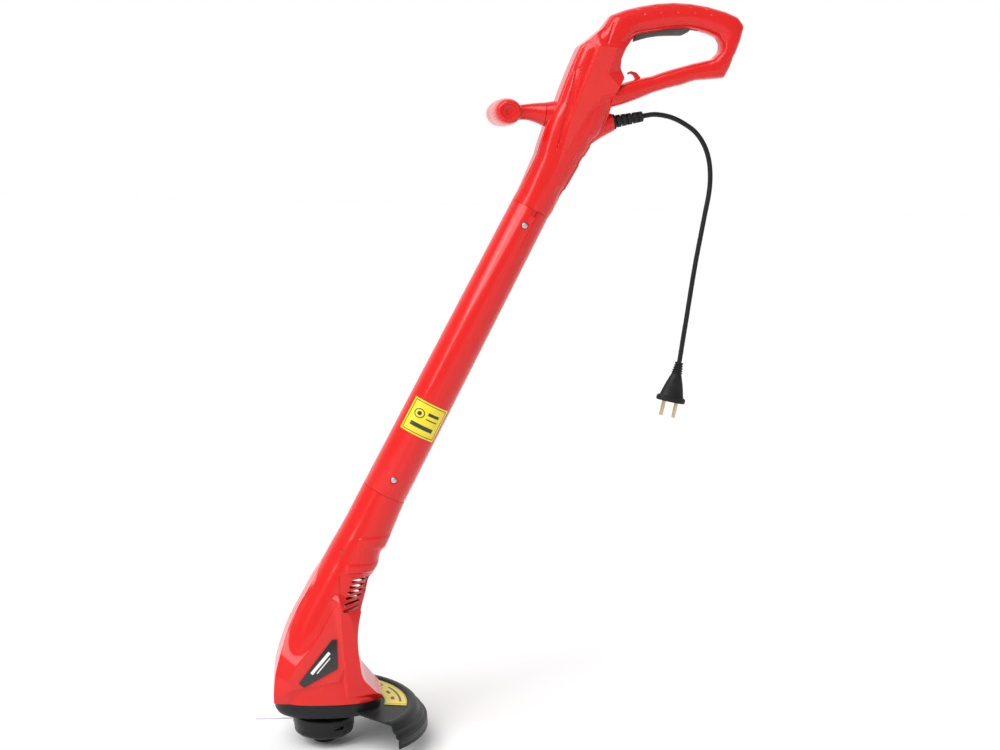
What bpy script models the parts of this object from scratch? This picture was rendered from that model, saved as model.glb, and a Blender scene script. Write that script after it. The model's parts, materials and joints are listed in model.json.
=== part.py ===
"""Corded string trimmer with a bump-feed cutting head, built as separate pieces.

Units are metres, +Z is up. The origin is on the ground, on the cutting head's axis, under the tap
button. +X points back towards the user's hands and the guard, and -Y is the user's left side.
"""

import math

import bmesh
import bpy
from mathutils import Matrix, Vector

# ---- clearances ----
GAP = 0.0003
RUN = 0.0004
SLIDE = 0.0003

# ---- shaft tube ----
TUBE_LENGTH = 0.3855
TUBE_ANGLE = math.radians(63.85)
TUBE_LOW_RADIUS = 0.0276
TUBE_TOP_RADIUS = 0.0243
TUBE_WALL = 0.0020
TUBE_FOOT = Vector((0.0700, 0.0, 0.3135))
SPIGOT_LENGTH = 0.034
SPIGOT_WALL = 0.0024
TUBE_SCREW_INSET = 0.0215
LABEL_MIDDLE = 0.103
LABEL_LENGTH = 0.042
LABEL_HALF_ANGLE = math.radians(52)
LABEL_THICK = 0.0004
LEAD_RADIUS = 0.0028
LEAD_ROUTE = ((0.0050, 0.1560), (0.0120, 0.1850), (0.0260, 0.2150), (0.0500, 0.2700))
LEAD_END = ((0.0220, 0.0480), (0.0460, 0.0780))
TUBE_SCREW_HEAD_RADIUS = 0.0036
TUBE_SCREW_HOLE_RADIUS = 0.0043

# ---- mouldings ----
SHELL_WALL = 0.0025
BOSS_RADIUS = 0.0052
SCREW_HEAD_RADIUS = 0.0033
SCREW_SHANK_RADIUS = 0.0016
SCREW_SEAT = 0.008
SCREW_REACH = 0.0100
SCREW_HEAD_HEIGHT = 0.0025

# ---- head outline: x, z in the side view ----
# Each head screw is its name, x, z and how far its boss reaches out.
HEAD_SCREWS = (
    ("front", -0.0470, 0.0680, 0.030),
    ("rear", 0.0460, 0.0700, 0.031),
    ("neck", 0.0200, 0.2440, 0.0270),
)
VENT_COUNT = 6
VENT_PITCH = 0.0068
VENT_LENGTH = 0.0210
VENT_HEIGHT = 0.0034
VENT_TILT = math.radians(-7)
CHEEK = (
    (0.0150, 0.1840),
    (-0.0170, 0.1390),
    (-0.0360, 0.1010),
    (-0.0420, 0.0760),
    (-0.0370, 0.0680),
    (0.0270, 0.0680),
    (0.0250, 0.1500),
)
CHEEK_DEEP = 0.0052
CHEEK_SPREAD = 1.10
BADGE = ((0.0070, 0.1410), (0.0130, 0.1410), (0.0140, 0.1060), (-0.0260, 0.0840), (-0.0320, 0.0890))
BADGE_THICK = 0.0010

# ---- cutting head ----
SPOOL_RADIUS = 0.0370
HOUSING_TOP = 0.0370
HOUSING_SPLIT = 0.0223
COVER_FLOOR = 0.0120
COVER_HOLE_RADIUS = 0.0160
HOUSING_WALL = 0.0025
BUTTON_RADIUS = 0.0150
BUTTON_TRAVEL = 0.0040
LINE_RADIUS = 0.0006
LINE_REACH = 0.0840
LINE_HEIGHT = 0.0290
SPOOL_LOW = 0.0194
SPOOL_HIGH = HOUSING_TOP - HOUSING_WALL - BUTTON_TRAVEL - 0.0011
SPOOL_BORE = 0.0126
SPOOL_CORE = 0.0160
SPOOL_FLANGE = 0.0015

# ---- motor ----
SHAFT_RADIUS = 0.0030
STATOR_RADIUS = 0.0270
ARMATURE_RADIUS = 0.0180
COMMUTATOR_RADIUS = 0.0090
BEARING_RADIUS = 0.0080
BRACKET_RADIUS = 0.0320
FAN_RADIUS = 0.0280

# ---- motor stack, heights above the ground ----
MOTOR_SHAFT_TOP = 0.1430
DRIVE_HUB_TOP = 0.0535
LOWER_BEARING = (0.0560, 0.0610)
LOWER_BRACKET = (0.0562, 0.0600)
FAN_BOTTOM = 0.0640
FAN_DISC = 0.0016
FAN_BLADE_HEIGHT = 0.0070
FAN_BLADES = 10
FAN_SIDES = 30
CORE_HEIGHTS = (0.0820, 0.1100)
CORE_SLOTS = 12
CORE_SLOT_DEPTH = 0.0022
STATOR_HEIGHTS = (0.0800, 0.1120)
WINDING_HEIGHTS = (0.1123, 0.1180)
COMMUTATOR_HEIGHTS = (0.1190, 0.1300)
BRUSH_HEIGHTS = (0.1205, 0.1285)
BRUSH_HALF_WIDTH = 0.0030
BRUSH_LENGTH = 0.0117
BRUSH_HOLDER_WALL = 0.0014
UPPER_BEARING = (0.1350, 0.1400)
UPPER_BRACKET = (0.1352, 0.1388)

# ---- guard ----
HUB_HOLE_RADIUS = 0.0130
GUARD_RADIUS = 0.1280
GUARD_NEAR_ANGLE = math.radians(-47)
GUARD_FAR_ANGLE = math.radians(62)
GUARD_WALL = 0.0026
DECK_TOP = 0.0492
TRAY_TOP = 0.0598
SKIRT_BOTTOM = 0.0220
GUARD_SCREW = (0.0335, 0.0318)
GUARD_POST_RADIUS = 0.0060
GUARD_POST_LENGTH = 0.0200
GUARD_WEB_REACH = 0.0408

# ---- trigger and switch, measured from the tube's top end ----
TRIGGER_HALF_WIDTH = 0.0052
TRIGGER_PIVOT = (0.1910, 0.2270)
TRIGGER_PIN_RADIUS = 0.0020
PLUNGER_X = 0.1610
PLUNGER_RADIUS = 0.0020

# ---- handle, measured from the tube's top end ----
# Front and rear points from the tube's top end, with the half width and squareness of each section.
GRIP_STATIONS = (
    ((-0.0166, 0.0200), (0.0270, -0.0030), 0.0246, 2.05),
    ((-0.0092, 0.0360), (0.0345, 0.0140), 0.0250, 2.15),
    ((0.0034, 0.0640), (0.0484, 0.0400), 0.0250, 2.4),
    ((0.0086, 0.0820), (0.0594, 0.0600), 0.0250, 2.7),
    ((0.0130, 0.0960), (0.0690, 0.0760), 0.0250, 2.9),
    ((0.0190, 0.1120), (0.0820, 0.0940), 0.0248, 3.0),
    ((0.0272, 0.1280), (0.0900, 0.1140), 0.0246, 3.0),
    ((0.0340, 0.1480), (0.0940, 0.1360), 0.0243, 3.0),
    ((0.0400, 0.1640), (0.1065, 0.1580), 0.0240, 3.0),
    ((0.0440, 0.1740), (0.1010, 0.1690), 0.0238, 3.0),
    ((0.0520, 0.1930), (0.1015, 0.1800), 0.0234, 3.0),
    ((0.0640, 0.2020), (0.1065, 0.1920), 0.0226, 3.0),
    ((0.0800, 0.2160), (0.1140, 0.2020), 0.0212, 2.9),
    ((0.0900, 0.2310), (0.1190, 0.2080), 0.0198, 2.8),
    ((0.1070, 0.2380), (0.1280, 0.2110), 0.0184, 2.6),
    ((0.1260, 0.2430), (0.1400, 0.2130), 0.0176, 2.5),
    ((0.1460, 0.2470), (0.1530, 0.2155), 0.0172, 2.4),
    ((0.1660, 0.2490), (0.1680, 0.2180), 0.0172, 2.4),
    ((0.1880, 0.2485), (0.1830, 0.2190), 0.0172, 2.4),
    ((0.2080, 0.2460), (0.1970, 0.2175), 0.0172, 2.4),
    ((0.2300, 0.2410), (0.2100, 0.2145), 0.0172, 2.5),
    ((0.2460, 0.2350), (0.2205, 0.2105), 0.0170, 2.6),
    ((0.2540, 0.2250), (0.2255, 0.2030), 0.0168, 2.7),
    ((0.2500, 0.2080), (0.2257, 0.1965), 0.0166, 2.8),
    ((0.2440, 0.1910), (0.2235, 0.1895), 0.0164, 2.9),
)
BAR_STATIONS = (
    ((0.2447, 0.1950), (0.2245, 0.1925), 0.0160, 2.9),
    ((0.2380, 0.1750), (0.2165, 0.1845), 0.0162, 2.9),
    ((0.2320, 0.1625), (0.2050, 0.1815), 0.0162, 2.9),
    ((0.2140, 0.1605), (0.1930, 0.1785), 0.0160, 2.9),
    ((0.1960, 0.1585), (0.1800, 0.1745), 0.0158, 2.9),
    ((0.1790, 0.1525), (0.1680, 0.1710), 0.0156, 2.9),
    ((0.1620, 0.1480), (0.1560, 0.1670), 0.0156, 2.9),
    ((0.1440, 0.1420), (0.1430, 0.1620), 0.0158, 2.9),
    ((0.1260, 0.1340), (0.1270, 0.1585), 0.0164, 2.9),
    ((0.1080, 0.1270), (0.1120, 0.1540), 0.0172, 2.9),
    ((0.0895, 0.1215), (0.0950, 0.1470), 0.0180, 2.9),
)
HANDLE_SCREWS = (
    ("low", 0.0210, 0.0720, 0.022),
    ("front", 0.0680, 0.1930, 0.020),
    ("rear", 0.2340, 0.2030, 0.0145),
    ("bottom", 0.1230, 0.1450, 0.0145),
)
FRONT_BOSS = (
    ((0.0160, 0.1270), (0.0130, 0.0990), 0.0140, 2.2),
    ((0.0300, 0.1300), (0.0250, 0.0960), 0.0160, 2.2),
    ((0.0420, 0.1290), (0.0400, 0.0970), 0.0160, 2.2),
)
SOCKET = (
    ((0.0760, 0.1120), (0.0840, 0.0870), 0.0132, 2.1),
    ((0.0640, 0.1060), (0.0720, 0.0790), 0.0140, 2.1),
)
HOOK = (
    (0.1290, 0.1550),
    (0.1290, 0.1600),
    (0.1240, 0.1655),
    (0.1170, 0.1670),
    (0.1130, 0.1650),
    (0.1135, 0.1625),
    (0.1165, 0.1640),
    (0.1205, 0.1620),
    (0.1225, 0.1580),
    (0.1220, 0.1550),
)
GLAND_START = (0.0972, 0.1062)
GLAND_END = (0.1349, 0.1143)
GLAND_BORE = 0.0068
SOCKET_RADIUS = 0.0106

# ---- mains cord ----
CORD_RADIUS = 0.0030
CORD_STEP = 0.0120
CORD_ROUTE = (
    (0.3752, 0.0000, 0.7743),
    (0.3900, 0.0004, 0.7765),
    (0.4090, 0.0012, 0.7740),
    (0.4260, 0.0024, 0.7672),
    (0.4418, 0.0037, 0.7570),
    (0.4535, 0.0048, 0.7425),
    (0.4607, 0.0056, 0.7250),
    (0.4637, 0.0060, 0.7050),
    (0.4631, 0.0060, 0.6840),
    (0.4590, 0.0056, 0.6580),
    (0.4545, 0.0050, 0.6300),
    (0.4500, 0.0042, 0.6020),
    (0.4455, 0.0032, 0.5700),
    (0.4410, 0.0020, 0.5350),
    (0.4370, 0.0010, 0.5050),
    (0.4332, 0.0000, 0.4753),
)
PLUG_LENGTH = 0.0500
PLUG_RADIUS = 0.0185
PLUG_PIN_RADIUS = 0.0024
PLUG_PIN_LENGTH = 0.0190
PLUG_PIN_SPACING = 0.0160

ROUND = 28
INNER_ROUND = 18
SMALL_ROUND = 10
OUTER_ARC = 9
INNER_ARC = 6
LABEL_ARC = 10
COIL_STEPS = 10
SHARP = math.radians(35)


# ---------------------------------------------------------------- scene and materials


def clear_scene():
    for item in list(bpy.data.objects):
        bpy.data.objects.remove(item, do_unlink=True)


def material(name, colour, roughness, metallic=0.0):
    made = bpy.data.materials.get(name)
    if made:
        return made
    made = bpy.data.materials.new(name)
    made.use_nodes = True
    shader = made.node_tree.nodes["Principled BSDF"]
    shader.inputs["Base Color"].default_value = (*colour, 1.0)
    shader.inputs["Roughness"].default_value = roughness
    shader.inputs["Metallic"].default_value = metallic
    return made


def red_plastic():
    return material("red_gloss_plastic", (0.72, 0.025, 0.022), 0.28)


def black_plastic():
    return material("black_plastic", (0.018, 0.019, 0.021), 0.45)


def grey_plastic():
    return material("grey_plastic", (0.09, 0.09, 0.085), 0.5)


def black_rubber():
    return material("black_rubber", (0.012, 0.012, 0.013), 0.6)


def yellow_label():
    return material("yellow_label", (0.85, 0.75, 0.01), 0.4)


def steel():
    return material("bright_steel", (0.55, 0.55, 0.56), 0.3, 1.0)


def pin_metal():
    return material("plug_pin_metal", (0.60, 0.47, 0.30), 0.35, 1.0)


def capacitor_case():
    return material("capacitor_case", (0.75, 0.55, 0.08), 0.45)


def lamination():
    return material("lamination_steel", (0.30, 0.30, 0.31), 0.5, 1.0)


def copper():
    return material("copper", (0.72, 0.33, 0.15), 0.35, 1.0)


def carbon():
    return material("carbon", (0.03, 0.03, 0.03), 0.7)


def nylon_line():
    return material("nylon_line", (0.55, 0.50, 0.60), 0.35)


# ---------------------------------------------------------------- mesh helpers


def finish(name, mesh_data, look):
    """Makes an object from a bmesh, smooth where it is round and sharp at its corners."""
    bmesh.ops.remove_doubles(mesh_data, verts=mesh_data.verts, dist=1e-7)
    bmesh.ops.recalc_face_normals(mesh_data, faces=mesh_data.faces)
    mesh = bpy.data.meshes.new(name)
    mesh_data.to_mesh(mesh)
    mesh_data.free()
    mesh.shade_smooth()
    mesh.set_sharp_from_angle(angle=SHARP)
    made = bpy.data.objects.new(name, mesh)
    if look:
        mesh.materials.append(look)
    bpy.context.scene.collection.objects.link(made)
    return made


def helper(item):
    """Turns an object into a cutter or an added shape that isn't a piece itself."""
    item.hide_render = True
    item.display_type = "WIRE"
    return item


def hang_on(item, place):
    """Moves a piece's origin to its joint and leaves its shape where it is."""
    item.data.transform(Matrix.Translation(-Vector(place)))
    item.location = place
    return item


def combine(target, other, operation):
    step = target.modifiers.new(other.name, "BOOLEAN")
    step.operation = operation
    step.object = helper(other)
    return target


def ring_loops(bm, loops, closed):
    """Joins loops of points that have the same count; closed also joins the last to the first."""
    made = [[bm.verts.new(point) for point in loop] for loop in loops]
    pairs = list(zip(made, made[1:]))
    if closed:
        pairs.append((made[-1], made[0]))
    else:
        bm.faces.new(made[0])
        bm.faces.new(list(reversed(made[-1])))
    count = len(made[0])
    for low, high in pairs:
        for index in range(count):
            after = (index + 1) % count
            bm.faces.new((low[index], low[after], high[after], high[index]))


def loft(name, loops, look, closed=False):
    bm = bmesh.new()
    ring_loops(bm, loops, closed)
    return finish(name, bm, look)


def turned(name, profile, look, steps=ROUND, place=None):
    """Spins a closed (radius, height) outline about Z, then moves it by place."""
    bm = bmesh.new()
    verts = [bm.verts.new((radius, 0.0, height)) for radius, height in profile]
    edges = [bm.edges.new((a, b)) for a, b in zip(verts, verts[1:])]
    if profile[0][0] > 0.0 or profile[-1][0] > 0.0:
        edges.append(bm.edges.new((verts[-1], verts[0])))
    bmesh.ops.spin(
        bm,
        geom=verts + edges,
        cent=(0, 0, 0),
        axis=(0, 0, 1),
        dvec=(0, 0, 0),
        angle=math.tau,
        steps=steps,
        use_merge=True,
    )
    if place:
        bm.transform(place)
    return finish(name, bm, look)


def swept(name, profile, start, end, steps, look):
    """Spins a closed (radius, height) outline about Z from one angle to another, with end faces."""
    loops = []
    for index in range(steps + 1):
        angle = start + (end - start) * index / steps
        loops.append(
            [
                Vector((radius * math.cos(angle), radius * math.sin(angle), height))
                for radius, height in profile
            ]
        )
    return loft(name, loops, look)


def prism(name, outline, low, high, look):
    """Extrudes an (x, z) outline along Y."""
    bm = bmesh.new()
    face = bm.faces.new([bm.verts.new((x, low, z)) for x, z in outline])
    grown = bmesh.ops.extrude_face_region(bm, geom=[face])
    moved = [item for item in grown["geom"] if isinstance(item, bmesh.types.BMVert)]
    bmesh.ops.translate(bm, vec=(0, high - low, 0), verts=moved)
    return finish(name, bm, look)


def block(name, low, high, look):
    bm = bmesh.new()
    low, high = Vector(low), Vector(high)
    size = high - low
    matrix = Matrix.Translation((low + high) / 2) @ Matrix.Diagonal((*size, 1.0))
    bmesh.ops.create_cube(bm, size=1.0, matrix=matrix)
    return finish(name, bm, look)


def along(start, direction):
    """A matrix that puts the origin at start and turns +Z towards direction."""
    turn = Vector(direction).to_track_quat("Z", "Y").to_matrix().to_4x4()
    return Matrix.Translation(start) @ turn


def rod(name, start, end, radius, look, steps=SMALL_ROUND):
    start, end = Vector(start), Vector(end)
    length = (end - start).length
    profile = [(0, 0), (radius, 0), (radius, length), (0, length)]
    return turned(name, profile, look, steps, along(start, end - start))


def helix(name, centre, radius, wire, bottom, top, turns, look):
    """A closed coil spring as a swept wire with flat end caps."""
    points = turns * COIL_STEPS
    sides = 5
    loops = []
    for index in range(points + 1):
        part = index / points
        angle = math.tau * turns * part
        middle = Vector(
            (
                centre[0] + radius * math.cos(angle),
                centre[1] + radius * math.sin(angle),
                bottom + wire + (top - bottom - 2 * wire) * part,
            )
        )
        out = Vector((math.cos(angle), math.sin(angle), 0))
        loops.append(
            [
                middle
                + out * wire * math.cos(math.tau * side / sides)
                + Vector((0, 0, wire * math.sin(math.tau * side / sides)))
                for side in range(sides)
            ]
        )
    return loft(name, loops, look)


# ---------------------------------------------------------------- housings made of stations


def side_point(front, rear, half_width, square, angle, side):
    """A point on a rounded section: angle 0 is the front edge and pi is the rear edge."""
    cosine, sine = math.cos(angle), math.sin(angle)
    reach = math.copysign(abs(cosine) ** (2 / square), cosine)
    depth = max(half_width * max(sine, 0.0) ** (2 / square), GAP / 2)
    middle = (front + rear) / 2
    flat = middle + (front - rear) / 2 * reach
    return Vector((flat.x, side * depth, flat.y))


def shell_loops(stations, side, wall):
    """C-shaped sections of one half of a hollow moulding, split on the middle plane."""
    loops = []
    for front, rear, half_width, square in stations:
        front, rear = Vector(front), Vector(rear)
        inward = (rear - front).normalized() * wall
        outer = [
            side_point(front, rear, half_width, square, math.pi * index / OUTER_ARC, side)
            for index in range(OUTER_ARC + 1)
        ]
        front, rear, half_width = front + inward, rear - inward, half_width - wall
        inner = [
            side_point(front, rear, half_width, square, math.pi * index / INNER_ARC, side)
            for index in reversed(range(INNER_ARC + 1))
        ]
        loops.append(outer + inner)
    return loops


def solid_loops(stations, side):
    """Half-round sections of one solid half, split on the middle plane."""
    loops = []
    for front, rear, half_width, square in stations:
        front, rear = Vector(front), Vector(rear)
        loops.append(
            [
                side_point(front, rear, half_width, square, math.pi * index / OUTER_ARC, side)
                for index in range(OUTER_ARC + 1)
            ]
        )
    return loops


def full_loop(front, rear, half_width, square, steps=ROUND):
    """A whole rounded section between a front and a rear point."""
    front, rear = Vector(front), Vector(rear)
    middle = (front + rear) / 2
    loop = []
    for index in range(steps):
        angle = math.tau * index / steps
        cosine, sine = math.cos(angle), math.sin(angle)
        flat = middle + (front - rear) / 2 * math.copysign(abs(cosine) ** (2 / square), cosine)
        depth = half_width * math.copysign(abs(sine) ** (2 / square), sine)
        loop.append(Vector((flat.x, depth, flat.y)))
    return loop


def circle_loop(radius, height, steps=ROUND):
    """A circle about the cutting axis, starting at the front like the other sections."""
    return full_loop((-radius, height), (radius, height), radius, 2.0, steps)


# ---------------------------------------------------------------- places on the tube


def tube_axis():
    return Vector((math.cos(TUBE_ANGLE), 0.0, math.sin(TUBE_ANGLE)))


def tube_back():
    return Vector((math.sin(TUBE_ANGLE), 0.0, -math.cos(TUBE_ANGLE)))


def tube_point(distance):
    return TUBE_FOOT + tube_axis() * distance


def tube_radius(distance):
    return TUBE_LOW_RADIUS + (TUBE_TOP_RADIUS - TUBE_LOW_RADIUS) * distance / TUBE_LENGTH


def tube_station(distance, extra=0.0, square=2.0):
    """The front and rear points of the tube's own round section."""
    middle = tube_point(distance)
    radius = tube_radius(distance) + extra
    back = tube_back() * radius
    front = middle - back
    rear = middle + back
    return ((front.x, front.z), (rear.x, rear.z), radius, square)


def from_top(x, z):
    """A place on the handle, measured from the middle of the tube's top end."""
    top = tube_point(TUBE_LENGTH)
    return (top.x + x, top.z + z)


def tube_frame(distance):
    """Local X points back, local Y to the right and local Z up the tube."""
    turn = Matrix((tube_back(), Vector((0, 1, 0)), tube_axis())).transposed().to_4x4()
    return Matrix.Translation(tube_point(distance)) @ turn


def spigot(name, side, start, end):
    """The half sleeve of a shell that plugs into the tube."""
    loops = []
    count = 4
    for index in range(count + 1):
        distance = start + (end - start) * index / count
        station = tube_station(distance, -TUBE_WALL - GAP)
        loops += shell_loops([station], side, SPIGOT_WALL)
    return loft(name, loops, None)


# ---------------------------------------------------------------- fasteners


def side_screw(name, x, z):
    """A screw that holds two half shells together, driven from the right."""
    seat = SCREW_SEAT + GAP
    profile = [
        (0, -SCREW_REACH + 2 * GAP),
        (SCREW_SHANK_RADIUS, -SCREW_REACH + 2 * GAP),
        (SCREW_SHANK_RADIUS, seat),
        (SCREW_HEAD_RADIUS, seat),
        (SCREW_HEAD_RADIUS, seat + SCREW_HEAD_HEIGHT * 0.6),
        (SCREW_HEAD_RADIUS * 0.7, seat + SCREW_HEAD_HEIGHT),
        (0, seat + SCREW_HEAD_HEIGHT),
    ]
    return turned(name, profile, steel(), SMALL_ROUND, along((x, 0, z), (0, 1, 0)))


def screw_boss(shell, tag, x, z, side, outer_y):
    """Adds a boss inside a half shell and drills it for a side screw."""
    boss = rod(f"{tag}_boss", (x, side * GAP / 2, z), (x, side * outer_y, z), BOSS_RADIUS, None)
    combine(shell, boss, "UNION")
    drill = SCREW_SHANK_RADIUS + GAP
    if side > 0:
        bore = rod(f"{tag}_bore", (x, -0.01, z), (x, SCREW_SEAT + 0.0020, z), drill, None)
        well = rod(
            f"{tag}_well",
            (x, SCREW_SEAT, z),
            (x, outer_y + 0.03, z),
            SCREW_HEAD_RADIUS + GAP,
            None,
        )
        combine(shell, well, "DIFFERENCE")
        combine(shell, bore, "DIFFERENCE")
    else:
        bore = rod(f"{tag}_bore", (x, 0.01, z), (x, -SCREW_REACH, z), drill, None)
        combine(shell, bore, "DIFFERENCE")


# ---------------------------------------------------------------- motor head shells


def head_stations():
    """Front and rear points of the head's side outline, with each section's half width."""
    return [
        ((-0.0612, 0.0601), (0.0700, 0.0606), 0.0444, 2.6),
        ((-0.0616, 0.0645), (0.0694, 0.0650), 0.0444, 2.6),
        ((-0.0618, 0.0700), (0.0624, 0.0712), 0.0442, 2.7),
        ((-0.0616, 0.0790), (0.0545, 0.0798), 0.0436, 2.9),
        ((-0.0610, 0.0885), (0.0478, 0.0875), 0.0429, 3.0),
        ((-0.0600, 0.0970), (0.0440, 0.0950), 0.0424, 3.0),
        ((-0.0565, 0.1120), (0.0415, 0.1090), 0.0412, 2.9),
        ((-0.0515, 0.1300), (0.0395, 0.1240), 0.0397, 2.8),
        ((-0.0450, 0.1500), (0.0385, 0.1390), 0.0382, 2.6),
        ((-0.0360, 0.1700), (0.0395, 0.1540), 0.0364, 2.4),
        ((-0.0245, 0.1920), (0.0435, 0.1730), 0.0344, 2.3),
        ((-0.0130, 0.2140), (0.0490, 0.1930), 0.0326, 2.2),
        ((-0.0040, 0.2310), (0.0535, 0.2090), 0.0312, 2.1),
        ((-0.0012, 0.2365), (0.0590, 0.2140), 0.0310, 2.1),
        ((0.0075, 0.2530), (0.0640, 0.2270), 0.0302, 2.1),
        ((0.0155, 0.2670), (0.0670, 0.2400), 0.0296, 2.05),
        ((0.0185, 0.2725), (0.0725, 0.2460), 0.0294, 2.05),
        ((0.0268, 0.2885), (0.0787, 0.2608), 0.0286, 2.0),
        ((0.0355, 0.3060), (0.0868, 0.2812), 0.0280, 2.0),
        tube_station(-GAP),
    ]


def cheek_depth(z):
    """Distance of the flat cheek from the middle plane; it leans in towards the top."""
    return 0.0462 - 0.095 * (z - 0.060)


def cheek(name, side):
    """A chamfered flat pad on the head's side, narrow at the top and wide at the foot."""
    middle = sum((Vector(point) for point in CHEEK), Vector((0, 0))) / len(CHEEK)
    foot, face = [], []
    for x, z in CHEEK:
        face.append(Vector((x, side * cheek_depth(z), z)))
        wide = middle + (Vector((x, z)) - middle) * CHEEK_SPREAD
        foot.append(Vector((wide.x, side * (cheek_depth(wide.y) - CHEEK_DEEP), wide.y)))
    return loft(name, [foot, face], None)


def vent_cutter(name):
    """Six slanting slots behind the neck, cut through both sides."""
    bm = bmesh.new()
    through = 0.120
    for index in range(VENT_COUNT):
        rear = Vector((0.0400 + 0.0022 * index, 0.0, 0.1770 + VENT_PITCH * index))
        middle = rear + Vector((-VENT_LENGTH / 2, 0, -0.0008))
        slant = Matrix.Rotation(VENT_TILT, 4, "Y")
        size = Matrix.Diagonal((VENT_LENGTH, through, VENT_HEIGHT, 1.0))
        bmesh.ops.create_cube(bm, size=1.0, matrix=Matrix.Translation(middle) @ slant @ size)
    return finish(name, bm, None)


def head_shell(side, word):
    shell = loft(f"head_shell_{word}", shell_loops(head_stations(), side, SHELL_WALL), red_plastic())
    combine(shell, cheek(f"cheek_{word}", side), "UNION")
    combine(shell, spigot(f"head_spigot_{word}", side, -0.008, SPIGOT_LENGTH), "UNION")
    combine(shell, vent_cutter(f"vents_{word}"), "DIFFERENCE")
    for tag, x, z, outer in HEAD_SCREWS:
        screw_boss(shell, f"head_{tag}_{word}", x, z, side, outer)
    return shell


def badge(side, word):
    """A blank plate that lies on the cheek."""
    low = [Vector((x, side * (cheek_depth(z) + GAP), z)) for x, z in BADGE]
    high = [point + Vector((0, side * BADGE_THICK, 0)) for point in low]
    return loft(f"badge_{word}", [low, high], black_plastic())


# ---------------------------------------------------------------- guard


def guard():
    """The black base under the motor with the skirted deck behind it, in one moulding."""
    wall = GUARD_WALL
    rings = [
        full_loop((-0.0575, 0.0425), (0.0662, 0.0435), 0.0428, 2.4),
        full_loop((-0.0600, 0.0470), (0.0692, 0.0480), 0.0438, 2.5),
        full_loop((-0.0612, TRAY_TOP), (0.0704, TRAY_TOP + 0.0004), 0.0444, 2.6),
        full_loop((-0.0612 + wall, TRAY_TOP), (0.0704 - wall, TRAY_TOP + 0.0004), 0.0444 - wall, 2.6),
        full_loop((-0.0602 + wall, 0.0497), (0.0694 - wall, 0.0500), 0.0438 - wall, 2.5),
        circle_loop(HUB_HOLE_RADIUS, 0.0495),
        circle_loop(HUB_HOLE_RADIUS, 0.0465),
        full_loop((-0.0552, 0.0466), (0.0655, 0.0472), 0.0406, 2.5),
        full_loop((-0.0575 + wall, 0.0425), (0.0662 - wall, 0.0435), 0.0428 - wall, 2.4),
    ]
    tray = loft("guard", rings, black_plastic(), closed=True)
    edge = GUARD_RADIUS
    inner = edge - 0.0120
    outline = [
        (0.0440, DECK_TOP),
        (inner - 0.0120, DECK_TOP),
        (inner - 0.0095, DECK_TOP + 0.0018),
        (inner - 0.0035, DECK_TOP + 0.0016),
        (inner - 0.0008, DECK_TOP - 0.0006),
        (inner + 0.0004, DECK_TOP - 0.0040),
        (inner + 0.0022, 0.0412),
        (inner + 0.0060, 0.0400),
        (inner + 0.0072, 0.0352),
        (edge - 0.0008, 0.0338),
        (edge, SKIRT_BOTTOM),
        (edge - wall, SKIRT_BOTTOM),
        (edge - 0.0008 - wall, 0.0322),
        (inner + 0.0072 - wall, 0.0334),
        (inner + 0.0060 - wall, 0.0378),
        (inner + 0.0022 - wall, 0.0390),
        (inner + 0.0002 - wall, DECK_TOP - wall - 0.0020),
        (inner - 0.0036, DECK_TOP - wall),
        (0.0440, DECK_TOP - wall),
    ]
    deck = swept("guard_deck", outline, GUARD_NEAR_ANGLE, GUARD_FAR_ANGLE, 18, None)
    combine(tray, deck, "UNION")
    for word, side in (("left", -1), ("right", 1)):
        x, y = GUARD_SCREW
        drill = SCREW_SHANK_RADIUS + GAP
        hole = rod(f"guard_hole_{word}", (x, side * y, 0.04), (x, side * y, 0.06), drill, None)
        combine(tray, hole, "DIFFERENCE")
    return tray


def guard_screw(side, word):
    x, y = GUARD_SCREW
    base = 0.0430
    profile = [
        (0, 0),
        (SCREW_HEAD_RADIUS, 0),
        (SCREW_HEAD_RADIUS, SCREW_HEAD_HEIGHT),
        (SCREW_SHANK_RADIUS, SCREW_HEAD_HEIGHT),
        (SCREW_SHANK_RADIUS, 0.0140),
        (0, 0.0140),
    ]
    return turned(
        f"guard_screw_{word}",
        profile,
        steel(),
        SMALL_ROUND,
        Matrix.Translation((x, side * y, base)),
    )


def guard_label():
    low, high = DECK_TOP + GAP, DECK_TOP + GAP + 0.0004
    near, far = 0.0760, GUARD_RADIUS - 0.0255
    outline = [(near, low), (far, low), (far, high), (near, high)]
    return swept(
        "guard_label", outline, math.radians(-12), math.radians(48), LABEL_ARC, yellow_label()
    )


def line_cutter():
    """The small blade that trims the line, on the skirt's right end."""
    outer = GUARD_RADIUS - 0.0120 - GUARD_WALL - 0.0006
    outline = [
        (outer - 0.0095, 0.0325),
        (outer, 0.0335),
        (outer, 0.0450),
        (outer - 0.0095, 0.0450),
    ]
    start = GUARD_FAR_ANGLE - math.radians(2.0)
    blade = swept("line_cutter", outline, start, start + math.radians(0.6), 1, steel())
    return blade


# ---------------------------------------------------------------- cutting head


def spool_housing():
    radius, wall = SPOOL_RADIUS, HOUSING_WALL
    profile = [
        (0.0040, HOUSING_TOP - wall),
        (0.0040, HOUSING_TOP),
        (radius - 0.0020, HOUSING_TOP),
        (radius, HOUSING_TOP - 0.0020),
        (radius, HOUSING_SPLIT),
        (radius - wall, HOUSING_SPLIT),
        (radius - wall, HOUSING_TOP - wall),
    ]
    housing = turned("spool_housing", profile, black_plastic(), ROUND)
    hole = rod(
        "eyelet_hole", (-radius + 0.008, 0, LINE_HEIGHT), (-radius - 0.01, 0, LINE_HEIGHT), 0.0032, None
    )
    return combine(housing, hole, "DIFFERENCE")


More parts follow.
